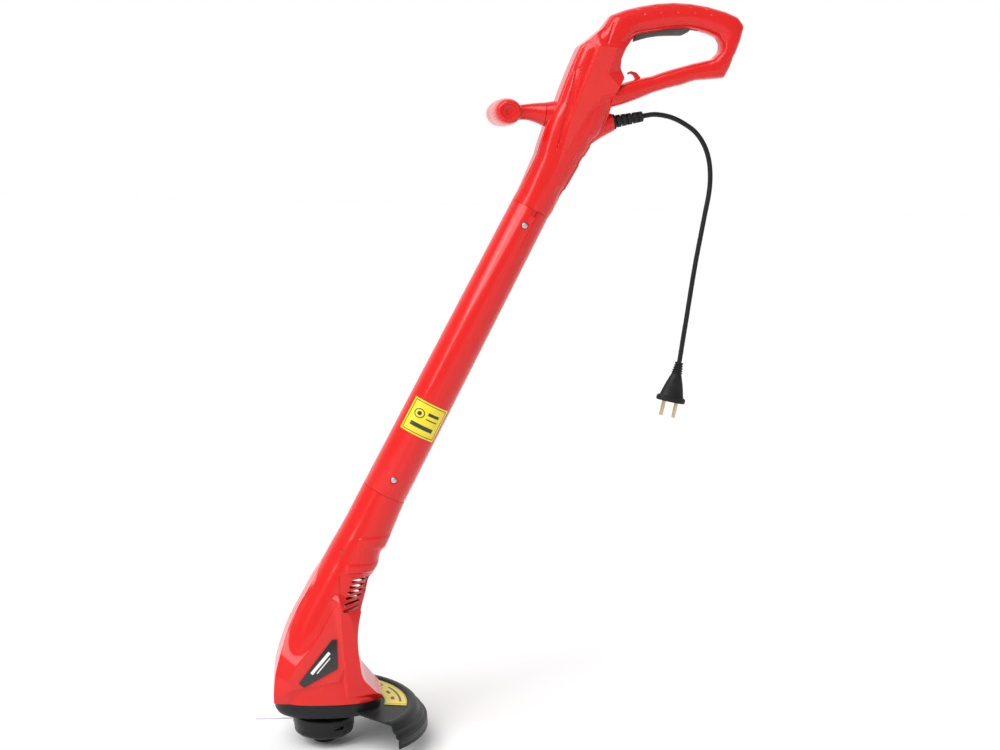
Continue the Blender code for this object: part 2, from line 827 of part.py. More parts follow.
def spool_cover():
    radius, wall = SPOOL_RADIUS - 0.0008, HOUSING_WALL
    top = HOUSING_SPLIT - GAP
    profile = [
        (COVER_HOLE_RADIUS, COVER_FLOOR),
        (radius - 0.0060, COVER_FLOOR),
        (radius - 0.0022, COVER_FLOOR + 0.0014),
        (radius, COVER_FLOOR + 0.0050),
        (radius, top),
        (radius - wall, top),
        (radius - wall, COVER_FLOOR + wall + 0.0030),
        (radius - wall - 0.0030, COVER_FLOOR + wall),
        (COVER_HOLE_RADIUS, COVER_FLOOR + wall),
    ]
    return turned("spool_cover", profile, black_plastic(), ROUND)


def tap_button():
    radius = BUTTON_RADIUS
    shoulder = COVER_FLOOR + HOUSING_WALL + GAP
    top = SPOOL_HIGH - 0.0002
    profile = [
        (0, 0),
        (radius * 0.45, 0),
        (radius * 0.75, 0.0008),
        (radius * 0.93, 0.0028),
        (radius, 0.0062),
        (radius, shoulder),
        (radius + 0.0050, shoulder),
        (radius + 0.0050, shoulder + 0.0042),
        (0.0080, shoulder + 0.0042),
        (0.0080, top),
        (0, top),
    ]
    return turned("tap_button", profile, black_plastic(), INNER_ROUND + 4)


def line_spool():
    flange, thick = SPOOL_RADIUS - 0.0060, SPOOL_FLANGE
    profile = [
        (SPOOL_BORE, SPOOL_LOW),
        (flange, SPOOL_LOW),
        (flange, SPOOL_LOW + thick),
        (SPOOL_CORE, SPOOL_LOW + thick),
        (SPOOL_CORE, SPOOL_HIGH - thick),
        (flange, SPOOL_HIGH - thick),
        (flange, SPOOL_HIGH),
        (SPOOL_BORE, SPOOL_HIGH),
    ]
    return turned("line_spool", profile, grey_plastic(), INNER_ROUND)


def wound_line():
    low, high = SPOOL_LOW + SPOOL_FLANGE + GAP, SPOOL_HIGH - SPOOL_FLANGE - GAP
    inner, outer = SPOOL_CORE + GAP, SPOOL_RADIUS - 0.0100
    profile = [(inner, low), (outer, low), (outer, high), (inner, high)]
    return turned("wound_line", profile, nylon_line(), INNER_ROUND)


def feed_spring():
    bottom = COVER_FLOOR + HOUSING_WALL + GAP + 0.0042 + GAP
    top = HOUSING_TOP - HOUSING_WALL - GAP
    return helix("feed_spring", (0, 0), 0.0104, 0.0006, bottom, top, 4, steel())


def line_eyelet():
    radius = SPOOL_RADIUS
    profile = [
        (0.0012, -0.0030),
        (0.0028, -0.0030),
        (0.0028, GAP),
        (0.0044, GAP),
        (0.0044, 0.0012),
        (0.0024, 0.0018),
        (0.0012, 0.0008),
    ]
    place = along((-radius, 0, LINE_HEIGHT), (-1, 0, 0))
    return turned("line_eyelet", profile, steel(), SMALL_ROUND, place)


def cutting_line():
    start = (-(SPOOL_RADIUS - HOUSING_WALL - 0.0020), 0, LINE_HEIGHT)
    return rod("cutting_line", start, (-LINE_REACH, 0, LINE_HEIGHT), LINE_RADIUS, nylon_line(), 8)


# ---------------------------------------------------------------- motor


def ring_part(name, inner, outer, heights, look, steps=INNER_ROUND):
    low, high = heights
    profile = [(inner, low), (outer, low), (outer, high), (inner, high)]
    return turned(name, profile, look, steps)


def drive_hub():
    low = HOUSING_TOP + GAP
    bore = SHAFT_RADIUS + GAP
    profile = [
        (bore, low),
        (0.0105, low),
        (0.0105, low + 0.0060),
        (0.0075, low + 0.0075),
        (0.0075, DRIVE_HUB_TOP),
        (bore, DRIVE_HUB_TOP),
    ]
    return turned("drive_hub", profile, black_plastic(), INNER_ROUND)


def fan():
    """A disc on the shaft with raised radial blades."""
    bm = bmesh.new()
    sides = FAN_SIDES
    radii = (SHAFT_RADIUS + GAP, 0.0090, FAN_RADIUS)
    heights = (FAN_BOTTOM, FAN_BOTTOM + FAN_DISC)
    grid = {}
    for index in range(sides):
        angle = math.tau * index / sides
        for r, radius in enumerate(radii):
            for h, height in enumerate(heights):
                place = (radius * math.cos(angle), radius * math.sin(angle), height)
                grid[index, r, h] = bm.verts.new(place)
    raised = []
    for index in range(sides):
        after = (index + 1) % sides
        for r in (0, 1):
            top = (grid[index, r, 1], grid[index, r + 1, 1], grid[after, r + 1, 1], grid[after, r, 1])
            made = bm.faces.new(top)
            if r == 1 and index % (sides // FAN_BLADES) == 0:
                raised.append(made)
            low_face = (grid[after, r, 0], grid[after, r + 1, 0], grid[index, r + 1, 0], grid[index, r, 0])
            bm.faces.new(low_face)
        for r in (0, 2):
            wall = (grid[index, r, 0], grid[after, r, 0], grid[after, r, 1], grid[index, r, 1])
            bm.faces.new(wall if r == 2 else tuple(reversed(wall)))
    for face in raised:
        grown = bmesh.ops.extrude_face_region(bm, geom=[face])
        moved = [item for item in grown["geom"] if isinstance(item, bmesh.types.BMVert)]
        bmesh.ops.translate(bm, vec=(0, 0, FAN_BLADE_HEIGHT), verts=moved)
        bm.faces.remove(face)
    return finish("fan", bm, black_plastic())


def armature_core():
    """A laminated core with twelve open slots along its side."""
    low, high = CORE_HEIGHTS
    steps = CORE_SLOTS * 3
    bottom, top = [], []
    bore_bottom, bore_top = [], []
    for index in range(steps):
        angle = math.tau * index / steps
        radius = ARMATURE_RADIUS - (CORE_SLOT_DEPTH if index % 3 == 0 else 0.0)
        bore = SHAFT_RADIUS + GAP
        bottom.append(Vector((radius * math.cos(angle), radius * math.sin(angle), low)))
        top.append(Vector((radius * math.cos(angle), radius * math.sin(angle), high)))
        bore_bottom.append(Vector((bore * math.cos(angle), bore * math.sin(angle), low)))
        bore_top.append(Vector((bore * math.cos(angle), bore * math.sin(angle), high)))
    return loft("armature_core", [bottom, top, bore_top, bore_bottom], lamination(), closed=True)


def motor():
    outer = STATOR_RADIUS
    rod("motor_shaft", (0, 0, HOUSING_TOP + 2 * GAP), (0, 0, MOTOR_SHAFT_TOP), SHAFT_RADIUS, steel())
    ring_part("lower_bearing", SHAFT_RADIUS + RUN, BEARING_RADIUS, LOWER_BEARING, steel())
    ring_part("lower_bracket", BEARING_RADIUS + GAP, BRACKET_RADIUS, LOWER_BRACKET, grey_plastic())
    ring_part("stator_core", ARMATURE_RADIUS + 0.0010, outer, STATOR_HEIGHTS, lamination())
    ring_part("field_winding", ARMATURE_RADIUS + 0.0020, outer - 0.0015, WINDING_HEIGHTS, copper())
    ring_part("commutator", SHAFT_RADIUS + GAP, COMMUTATOR_RADIUS, COMMUTATOR_HEIGHTS, copper(), 24)
    ring_part("upper_bearing", SHAFT_RADIUS + RUN, BEARING_RADIUS, UPPER_BEARING, steel())
    ring_part("upper_bracket", BEARING_RADIUS + GAP, outer + 0.0020, UPPER_BRACKET, grey_plastic())
    drive_hub()
    fan()
    armature_core()
    for word, side in (("left", -1), ("right", 1)):
        brush(side, word)
        brush_holder(side, word)


def brush(side, word):
    """A carbon block that presses on the commutator."""
    half = BRUSH_HALF_WIDTH
    low, high = BRUSH_HEIGHTS
    near = COMMUTATOR_RADIUS + GAP
    ends = sorted((side * near, side * (near + BRUSH_LENGTH)))
    return block(f"brush_{word}", (-half, ends[0], low), (half, ends[1], high), carbon())


def brush_holder(side, word):
    """The square sleeve that guides a brush."""
    half, wall = BRUSH_HALF_WIDTH, BRUSH_HOLDER_WALL
    low, high = BRUSH_HEIGHTS
    near = COMMUTATOR_RADIUS + GAP
    ends = sorted((side * (near + 0.0016), side * (near + BRUSH_LENGTH + 0.0033)))
    holder = block(
        f"brush_holder_{word}",
        (-half - wall, ends[0], low - wall),
        (half + wall, ends[1], high + wall),
        grey_plastic(),
    )
    slot = block(
        f"brush_slot_{word}",
        (-half - GAP, ends[0] - 0.01, low - GAP),
        (half + GAP, ends[1] + 0.01, high + GAP),
        None,
    )
    return combine(holder, slot, "DIFFERENCE")


# ---------------------------------------------------------------- shaft tube


def shaft_tube():
    radius_low, radius_top, wall = TUBE_LOW_RADIUS, TUBE_TOP_RADIUS, TUBE_WALL
    profile = [
        (radius_low - wall, 0),
        (radius_low, 0),
        (radius_top, TUBE_LENGTH),
        (radius_top - wall, TUBE_LENGTH),
    ]
    tube = turned("shaft_tube", profile, red_plastic(), ROUND, tube_frame(0))
    for tag, distance in tube_screw_places():
        centre = tube_point(distance)
        start = centre + Vector((0, -0.012, 0))
        end = centre + Vector((0, -0.050, 0))
        hole = rod(f"tube_hole_{tag}", start, end, TUBE_SCREW_HOLE_RADIUS, None)
        combine(tube, hole, "DIFFERENCE")
    notch = block("tube_notch", (0.0005, -0.04, -0.0075), (0.0065, -0.010, 0.004), None)
    notch.data.transform(tube_frame(TUBE_LENGTH))
    combine(tube, notch, "DIFFERENCE")
    return tube


def tube_screw_places():
    return (("lower", TUBE_SCREW_INSET), ("upper", TUBE_LENGTH - TUBE_SCREW_INSET))


def tube_screw(tag, distance):
    """A screw through the tube's left wall into the sleeve behind it."""
    seat = tube_radius(distance) - TUBE_WALL + GAP
    profile = [
        (0, seat - 0.0100),
        (SCREW_SHANK_RADIUS, seat - 0.0100),
        (SCREW_SHANK_RADIUS, seat),
        (TUBE_SCREW_HEAD_RADIUS, seat),
        (TUBE_SCREW_HEAD_RADIUS, seat + 0.0010),
        (0.0026, seat + 0.0017),
        (0, seat + 0.0017),
    ]
    place = along(tube_point(distance), (0, -1, 0))
    return turned(f"tube_screw_{tag}", profile, steel(), SMALL_ROUND, place)


def drill_spigot(shell, tag, distance):
    centre = tube_point(distance)
    radius = tube_radius(distance)
    hole = rod(
        f"{tag}_pilot",
        centre + Vector((0, -radius + 0.010, 0)),
        centre + Vector((0, -radius - 0.004, 0)),
        SCREW_SHANK_RADIUS + GAP,
        None,
    )
    combine(shell, hole, "DIFFERENCE")


def noise_label():
    """A thin square label wrapped round the tube's left side."""
    loops = []
    for index in range(LABEL_ARC + 1):
        angle = -math.pi / 2 + LABEL_HALF_ANGLE * (2 * index / LABEL_ARC - 1)
        loop = []
        for distance, out in ((-0.5, 0), (0.5, 0), (0.5, 1), (-0.5, 1)):
            place = LABEL_MIDDLE + distance * LABEL_LENGTH
            radius = tube_radius(place) + GAP + out * LABEL_THICK
            local = Vector((radius * math.cos(angle), radius * math.sin(angle), 0))
            loop.append(tube_frame(place) @ local)
        loops.append(loop)
    return loft("noise_label", loops, yellow_label())


def inner_lead():
    """The lead from the handle down the tube to the brushes, held along its whole length."""
    points = [Vector((x, 0.0, z)) for x, z in LEAD_ROUTE]
    count = 12
    for index in range(count + 1):
        points.append(tube_point(TUBE_LENGTH * index / count))
    for end in LEAD_END:
        x, z = from_top(*end)
        points.append(Vector((x, 0.0, z)))
    return cord_curve("inner_lead", points, LEAD_RADIUS)


def cord_curve(name, points, radius):
    curve = bpy.data.curves.new(name, "CURVE")
    curve.dimensions = "3D"
    curve.bevel_depth = radius
    curve.bevel_resolution = 2
    curve.use_fill_caps = True
    spline = curve.splines.new("POLY")
    spline.points.add(len(points) - 1)
    for point, place in zip(spline.points, points):
        point.co = (*place, 1.0)
    curve.materials.append(black_rubber())
    made = bpy.data.objects.new(name, curve)
    bpy.context.scene.collection.objects.link(made)
    return made


# ---------------------------------------------------------------- handle shells


def at_top(stations):
    return [(from_top(*front), from_top(*rear), width, square) for front, rear, width, square in stations]


def gland_line():
    x, z = from_top(*GLAND_START)
    start = Vector((x, 0, z))
    x, z = from_top(*GLAND_END)
    end = Vector((x, 0, z))
    return start, end


def socket_end():
    """The socket's open end, square to the cord gland."""
    start, end = gland_line()
    ahead = (end - start).normalized()
    down = Vector((ahead.z, 0, -ahead.x)) * SOCKET_RADIUS
    top, foot = start - down, start + down
    return ((top.x, top.z), (foot.x, foot.z), SOCKET_RADIUS, 2.0)


def handle_shell(side, word):
    stations = [tube_station(TUBE_LENGTH + GAP)] + at_top(GRIP_STATIONS)
    shell = loft(f"handle_shell_{word}", shell_loops(stations, side, SHELL_WALL), red_plastic())
    bar = loft(f"bar_{word}", shell_loops(at_top(BAR_STATIONS), side, SHELL_WALL), None)
    combine(shell, bar, "UNION")
    boss = loft(f"front_boss_{word}", solid_loops(at_top(FRONT_BOSS), side), None)
    combine(shell, boss, "UNION")
    socket = loft(f"socket_{word}", solid_loops([socket_end()] + at_top(SOCKET), side), None)
    combine(shell, socket, "UNION")
    inset = TUBE_LENGTH - SPIGOT_LENGTH
    combine(shell, spigot(f"handle_spigot_{word}", side, inset, TUBE_LENGTH + 0.008), "UNION")
    start, end = gland_line()
    ahead = (end - start).normalized()
    inner, outer = start - ahead * 0.016, start + ahead * 0.02
    bore = rod(f"gland_bore_{word}", inner, outer, GLAND_BORE + 2 * GAP, None, ROUND)
    combine(shell, bore, "DIFFERENCE")
    low = Vector((*from_top(0.1170, 0.1960), 0))
    high = Vector((*from_top(0.1975, 0.2245), 0))
    half = TRIGGER_HALF_WIDTH + SLIDE
    slot = block(f"trigger_slot_{word}", (low.x, -half, low.y), (high.x, half, high.y), None)
    combine(shell, slot, "DIFFERENCE")
    for tag, x, z, outer in HANDLE_SCREWS:
        screw_boss(shell, f"handle_{tag}_{word}", *from_top(x, z), side, outer)
    return shell


def cord_hook():
    """The small hook in the hand opening that holds an extension lead's loop."""
    outline = [from_top(x, z) for x, z in HOOK]
    return prism("cord_hook", outline, -0.0045, -GAP / 2, None)


def trigger():
    """The long lever under the grip, hinged at its rear end."""
    pivot = Vector(from_top(*TRIGGER_PIVOT))
    outline = [
        from_top(0.1195, 0.2015),
        from_top(0.1280, 0.2045),
        from_top(0.1380, 0.2074),
        from_top(0.1490, 0.2094),
        from_top(0.1610, 0.2104),
        from_top(0.1780, 0.2112),
        from_top(0.1850, 0.2150),
    ]
    for index in range(7):
        angle = math.radians(-60 + 40 * index)
        outline.append((pivot.x + 0.0046 * math.cos(angle), pivot.y + 0.0046 * math.sin(angle)))
    outline += [from_top(0.1780, 0.2220), from_top(0.1300, 0.2178), from_top(0.1205, 0.2130)]
    lever = prism("trigger", outline, -TRIGGER_HALF_WIDTH, TRIGGER_HALF_WIDTH, grey_plastic())
    hole = rod(
        "trigger_hole",
        (pivot.x, -0.02, pivot.y),
        (pivot.x, 0.02, pivot.y),
        TRIGGER_PIN_RADIUS + 0.0001,
        None,
    )
    combine(lever, hole, "DIFFERENCE")
    return hang_on(lever, (pivot.x, 0, pivot.y))


def trigger_pin():
    pivot = Vector(from_top(*TRIGGER_PIVOT))
    reach = 0.0090
    return rod(
        "trigger_pin", (pivot.x, -reach, pivot.y), (pivot.x, reach, pivot.y), TRIGGER_PIN_RADIUS, steel()
    )


def trigger_spring():
    x, low = from_top(0.1330, 0.2186)
    _, high = from_top(0.1330, 0.2405)
    return helix("trigger_spring", (x, 0), 0.0028, 0.0005, low, high, 6, steel())


def switch_body():
    x, low = from_top(PLUNGER_X, 0.2295)
    _, high = from_top(PLUNGER_X, 0.2425)
    body = block("switch_body", (x - 0.0130, -0.0085, low), (x + 0.0130, 0.0085, high), black_plastic())
    bore = rod("plunger_bore", (x, 0, low - 0.01), (x, 0, low + 0.0090), PLUNGER_RADIUS + SLIDE, None)
    return combine(body, bore, "DIFFERENCE")


def switch_plunger():
    x, low = from_top(PLUNGER_X, 0.2214)
    _, high = from_top(PLUNGER_X, 0.2345)
    plunger = rod("switch_plunger", (x, 0, low), (x, 0, high), PLUNGER_RADIUS, grey_plastic())
    return hang_on(plunger, (x, 0, low))


def suppression_capacitor():
    x, z = from_top(0.0560, 0.1480)
    return block(
        "suppression_capacitor", (x, -0.0080, z - 0.0130), (x + 0.0260, 0.0080, z + 0.0130), capacitor_case()
    )


# ---------------------------------------------------------------- front grip


def front_grip():
    """A short cross bar on a tapered stem, for the leading hand."""
    x, z = from_top(-0.0350, 0.1132)
    bar = []
    for y, half_x, half_z in (
        (-0.0470, 0.0110, 0.0095),
        (-0.0455, 0.0138, 0.0122),
        (-0.0370, 0.0160, 0.0148),
        (-0.0200, 0.0168, 0.0160),
        (0.0, 0.0165, 0.0162),
        (0.0200, 0.0168, 0.0160),
        (0.0370, 0.0160, 0.0148),
        (0.0455, 0.0138, 0.0122),
        (0.0470, 0.0110, 0.0095),
    ):
        loop = []
        for index in range(24):
            angle = math.tau * index / 24
            loop.append(Vector((x - half_x * math.cos(angle), y, z + half_z * math.sin(angle))))
        bar.append(loop)
    grip = loft("front_grip", bar, red_plastic())
    stem = []
    for near, low, high, half in (
        (-0.0260, 0.1040, 0.1220, 0.0085),
        (-0.0100, 0.1055, 0.1240, 0.0090),
        (0.0000, 0.1035, 0.1255, 0.0105),
    ):
        stem.append(full_loop(from_top(near + 0.0010, high), from_top(near, low), half, 2.2, 24))
    (top_x, top_z), (foot_x, foot_z), half, square = FRONT_BOSS[0]
    back = 2 * GAP
    stem.append(
        full_loop(from_top(top_x - back, top_z), from_top(foot_x - back, foot_z), half, square, 24)
    )
    combine(grip, loft("grip_stem", stem, None), "UNION")
    for word, side in (("left", -1), ("right", 1)):
        dimple = rod(
            f"grip_dimple_{word}",
            (x, side * 0.0445, z),
            (x, side * 0.06, z),
            0.0056,
            None,
        )
        combine(grip, dimple, "DIFFERENCE")
    return grip


# ---------------------------------------------------------------- gland, cord and plug


def cord_gland():
    """The rubber sleeve that keeps the cord from bending sharply at the handle."""
    start, end = gland_line()
    length = (end - start).length
    profile = [(0, -0.0120), (GLAND_BORE, -0.0120), (GLAND_BORE, GAP), (0.0092, GAP), (0.0092, 0.0030)]
    blocks, first = 5, 0.0040
    pitch = (length - first) / blocks
    for index in range(blocks):
        low = first + pitch * index
        radius = 0.0075 - 0.0003 * index
        profile += [(0.0050, low - 0.0010), (0.0050, low + 0.0012)]
        profile += [(radius, low + 0.0014), (radius, low + pitch - 0.0012)]
    profile += [(0.0052, length), (0, length)]
    return turned("cord_gland", profile, black_rubber(), SMALL_ROUND + 4, along(start, end - start))


def smooth_route(points, step):
    """Reads evenly spaced points from a Catmull-Rom curve through the chosen ones."""
    knots = [Vector(point) for point in points]
    knots = [2 * knots[0] - knots[1]] + knots + [2 * knots[-1] - knots[-2]]
    fine = []
    for a, b, c, d in zip(knots, knots[1:], knots[2:], knots[3:]):
        for index in range(10):
            t = index / 10
            fine.append(
                0.5
                * (
                    2 * b
                    + (c - a) * t
                    + (2 * a - 5 * b + 4 * c - d) * t**2
                    + (3 * b - a - 3 * c + d) * t**3
                )
            )
    fine.append(knots[-2])
    lengths = [0.0]
    for a, b in zip(fine, fine[1:]):
        lengths.append(lengths[-1] + (b - a).length)
    count = round(lengths[-1] / step)
    route, index = [], 0
    for number in range(count + 1):
        goal = lengths[-1] * number / count
        while index < len(fine) - 2 and lengths[index + 1] < goal:
            index += 1
        share = (goal - lengths[index]) / (lengths[index + 1] - lengths[index])
        route.append(fine[index].lerp(fine[index + 1], share))
    return route


def plug_line():
    end, before = Vector(CORD_ROUTE[-1]), Vector(CORD_ROUTE[-2])
    return end, (Vector((-0.26, 0, -0.966)) + (end - before).normalized()).normalized()


def plug_body():
    """A slim plug: ribbed neck, tapered body and a wide flange."""
    start, ahead = plug_line()
    begin = start + ahead * GAP
    stations = (
        (0.0000, 0.0042, 0.0042),
        (0.0030, 0.0050, 0.0048),
        (0.0060, 0.0044, 0.0044),
        (0.0090, 0.0056, 0.0052),
        (0.0120, 0.0050, 0.0048),
        (0.0150, 0.0066, 0.0058),
        (0.0230, 0.0095, 0.0068),
        (0.0330, 0.0125, 0.0078),
        (0.0420, 0.0150, 0.0085),
        (0.0440, PLUG_RADIUS - 0.0010, 0.0100),
        (0.0455, PLUG_RADIUS, 0.0110),
        (PLUG_LENGTH, PLUG_RADIUS, 0.0110),
    )
    across = ahead.cross(Vector((0, 1, 0))).normalized()
    loops = []
    for distance, wide, deep in stations:
        centre = begin + ahead * distance
        loop = []
        for index in range(20):
            angle = math.tau * index / 20
            loop.append(
                centre + across * wide * math.cos(angle) + Vector((0, deep * math.sin(angle), 0))
            )
        loops.append(loop)
    return loft("plug_body", loops, black_rubber())


def plug_pin(word, side):
    start, ahead = plug_line()
    across = ahead.cross(Vector((0, 1, 0))).normalized()
    face = start + ahead * (2 * GAP + PLUG_LENGTH) + across * side * PLUG_PIN_SPACING / 2
    profile = [
        (0, 0),
        (PLUG_PIN_RADIUS, 0),
        (PLUG_PIN_RADIUS, PLUG_PIN_LENGTH - 0.0012),
        (PLUG_PIN_RADIUS * 0.5, PLUG_PIN_LENGTH),
        (0, PLUG_PIN_LENGTH),
    ]
    return turned(f"plug_pin_{word}", profile, pin_metal(), SMALL_ROUND, along(face, ahead))


# ---------------------------------------------------------------- assembly


def build_head():
    for side, word in ((-1, "left"), (1, "right")):
        shell = head_shell(side, word)
        if side < 0:
            drill_spigot(shell, "head", TUBE_SCREW_INSET)
        add_guard_post(shell, side, word)
        badge(side, word)
        guard_screw(side, word)
    for tag, x, z, _ in HEAD_SCREWS:
        side_screw(f"head_screw_{tag}", x, z)
    guard()
    guard_label()
    line_cutter()


def add_guard_post(shell, side, word):
    """A post inside the shell that a guard screw bites into."""
    x, y = GUARD_SCREW
    foot = 0.0518
    start = Vector((x, side * y, foot))
    up = Vector((0, 0, 1))
    post = rod(f"guard_post_{word}", start, start + up * GUARD_POST_LENGTH, GUARD_POST_RADIUS, None)
    combine(shell, post, "UNION")
    near, far = sorted((side * y, side * GUARD_WEB_REACH))
    web = block(
        f"guard_web_{word}",
        (x - 0.0022, near, TRAY_TOP + 0.0016),
        (x + 0.0022, far, foot + GUARD_POST_LENGTH - 0.0010),
        None,
    )
    combine(shell, web, "UNION")
    drill = SCREW_SHANK_RADIUS + GAP
    bore = rod(f"guard_bore_{word}", start - up * 0.01, start + up * 0.007, drill, None)
    combine(shell, bore, "DIFFERENCE")


def build_cutting_head():
    spool_housing()
    spool_cover()
    tap_button()
    line_spool()
    wound_line()
    feed_spring()
    line_eyelet()
    cutting_line()


def build_shaft():
    shaft_tube()
    noise_label()
    inner_lead()
    for tag, distance in tube_screw_places():
        tube_screw(tag, distance)


def build_handle():
    for side, word in ((-1, "left"), (1, "right")):
        shell = handle_shell(side, word)
        if side < 0:
            drill_spigot(shell, "handle", TUBE_LENGTH - TUBE_SCREW_INSET)
            combine(shell, cord_hook(), "UNION")
    for tag, x, z, _ in HANDLE_SCREWS:
        side_screw(f"handle_screw_{tag}", *from_top(x, z))
    trigger()
    trigger_pin()
    trigger_spring()
    switch_body()
    switch_plunger()
    suppression_capacitor()
    front_grip()


def build_cord():
    cord_gland()
    cord_curve("power_cord", smooth_route(CORD_ROUTE, CORD_STEP), CORD_RADIUS)
    plug_body()
    plug_pin("front", -1)
    plug_pin("rear", 1)


def main():
    clear_scene()
    build_head()
    build_cutting_head()
    motor()
    build_shaft()
    build_handle()
    build_cord()


main()
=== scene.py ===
"""Looks of a corded string trimmer: shells, guard, cutting head, cord, labels and their finishes.

Units are metres and +Z is up. The origin is on the ground under the tap button, +X points back
towards the user and -Y is the user's left.
"""

import json
import math

import bmesh
import bpy
import numpy as np
from bpy.props import FloatProperty, FloatVectorProperty, PointerProperty
from mathutils import Matrix, Vector


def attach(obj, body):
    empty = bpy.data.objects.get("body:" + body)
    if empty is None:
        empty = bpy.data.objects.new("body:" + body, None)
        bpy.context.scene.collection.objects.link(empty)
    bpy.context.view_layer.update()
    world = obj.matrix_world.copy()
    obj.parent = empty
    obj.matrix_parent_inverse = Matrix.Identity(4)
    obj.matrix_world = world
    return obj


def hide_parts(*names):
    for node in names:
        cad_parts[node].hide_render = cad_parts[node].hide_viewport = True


bl_info = {
    "name": "String Trimmer",
    "version": (1, 0, 0),
    "blender": (4, 5, 0),
    "location": "3D View > Sidebar > Trimmer",
    "description": "Builds the visible pieces of a corded string trimmer round its mechanical frame",
    "category": "Object",
}

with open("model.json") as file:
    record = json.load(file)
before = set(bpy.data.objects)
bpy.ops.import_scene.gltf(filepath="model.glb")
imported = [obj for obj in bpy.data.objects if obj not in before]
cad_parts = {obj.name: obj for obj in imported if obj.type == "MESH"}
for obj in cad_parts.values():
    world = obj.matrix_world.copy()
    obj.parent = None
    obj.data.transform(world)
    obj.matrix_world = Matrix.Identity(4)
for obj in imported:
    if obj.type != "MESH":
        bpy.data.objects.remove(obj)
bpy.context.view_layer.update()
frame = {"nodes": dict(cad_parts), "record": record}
RECORD = frame["record"]

# ---- shaft tube ----
TUBE_FOOT = np.array((0.0700, 0.0, 0.3135))
TUBE_LENGTH = 0.3855
TUBE_ANGLE = math.radians(63.85)
TUBE_LOW_RADIUS = 0.0276
TUBE_TOP_RADIUS = 0.0243
TUBE_WALL = 0.0020
TUBE_AXIS = np.array((math.cos(TUBE_ANGLE), 0.0, math.sin(TUBE_ANGLE)))
TUBE_BACK = np.array((math.sin(TUBE_ANGLE), 0.0, -math.cos(TUBE_ANGLE)))
TUBE_TOP = TUBE_FOOT + TUBE_AXIS * TUBE_LENGTH
TUBE_SCREWS = (0.0215, TUBE_LENGTH - 0.0215)
LABEL_MIDDLE = 0.103
LABEL_LENGTH = 0.042
LABEL_HALF_ANGLE = math.radians(52)

GAP = 0.0003
SHELL_WALL = 0.0025
SMOOTH_ANGLE = math.radians(32)

# ---- motor head: front and rear points (x, z), half width and squareness of each section ----
HEAD_STATIONS = (
    ((-0.0612, 0.0601), (0.0700, 0.0606), 0.0444, 2.6),
    ((-0.0616, 0.0645), (0.0694, 0.0650), 0.0444, 2.6),
    ((-0.0618, 0.0700), (0.0624, 0.0712), 0.0442, 2.7),
    ((-0.0616, 0.0790), (0.0545, 0.0798), 0.0436, 2.9),
    ((-0.0610, 0.0885), (0.0478, 0.0875), 0.0429, 3.0),
    ((-0.0600, 0.0970), (0.0440, 0.0950), 0.0424, 3.0),
    ((-0.0565, 0.1120), (0.0415, 0.1090), 0.0412, 2.9),
    ((-0.0515, 0.1300), (0.0395, 0.1240), 0.0397, 2.8),
    ((-0.0450, 0.1500), (0.0385, 0.1390), 0.0382, 2.6),
    ((-0.0360, 0.1700), (0.0395, 0.1540), 0.0364, 2.4),
    ((-0.0245, 0.1920), (0.0435, 0.1730), 0.0344, 2.3),
    ((-0.0130, 0.2140), (0.0490, 0.1930), 0.0326, 2.2),
    ((-0.0040, 0.2310), (0.0535, 0.2090), 0.0312, 2.1),
    ((-0.0012, 0.2365), (0.0590, 0.2140), 0.0310, 2.1),
    ((0.0075, 0.2530), (0.0640, 0.2270), 0.0302, 2.1),
    ((0.0155, 0.2670), (0.0670, 0.2400), 0.0296, 2.05),
    ((0.0185, 0.2725), (0.0725, 0.2460), 0.0294, 2.05),
    ((0.0268, 0.2885), (0.0787, 0.2608), 0.0286, 2.0),
    ((0.0355, 0.3060), (0.0868, 0.2812), 0.0280, 2.0),
)
HEAD_SCREWS = (("front", -0.0470, 0.0680), ("rear", 0.0460, 0.0700), ("neck", 0.0200, 0.2440))
CHEEK = (
    (0.0165, 0.1903),
    (0.0074, 0.1727),
    (-0.0038, 0.1506),
    (-0.0193, 0.1271),
    (-0.0350, 0.1090),
    (-0.0440, 0.0920),
    (-0.0440, 0.0800),
    (0.0153, 0.0900),
    (0.0232, 0.1081),
    (0.0185, 0.1561),
)
FLANK = (
    (0.0165, 0.1860),
    (0.0185, 0.1561),
    (0.0232, 0.1081),
    (0.0272, 0.0688),
    (0.0600, 0.0700),
    (0.0471, 0.1000),
    (0.0411, 0.1152),
    (0.0334, 0.1558),
    (0.0260, 0.1768),
)
CHEEK_REACH = 0.0473
CHEEK_LEAN = 0.095
VENT_FIELD = ((0.0150, 0.2185), (0.0172, 0.1850), (0.0270, 0.1722), (0.0500, 0.1700), (0.0700, 0.2200))
NECK_RIDGES = (
    ((0.0250, 0.2200), (0.0560, 0.2180), (0.0640, 0.2290), (0.0240, 0.2300)),
    ((0.0380, 0.2500), (0.0700, 0.2480), (0.0780, 0.2630), (0.0390, 0.2620)),
)
VENT_COUNT = 6
VENT_PITCH = 0.0068
BADGE = ((0.0070, 0.1410), (0.0130, 0.1410), (0.0140, 0.1060), (-0.0260, 0.0840), (-0.0320, 0.0890))

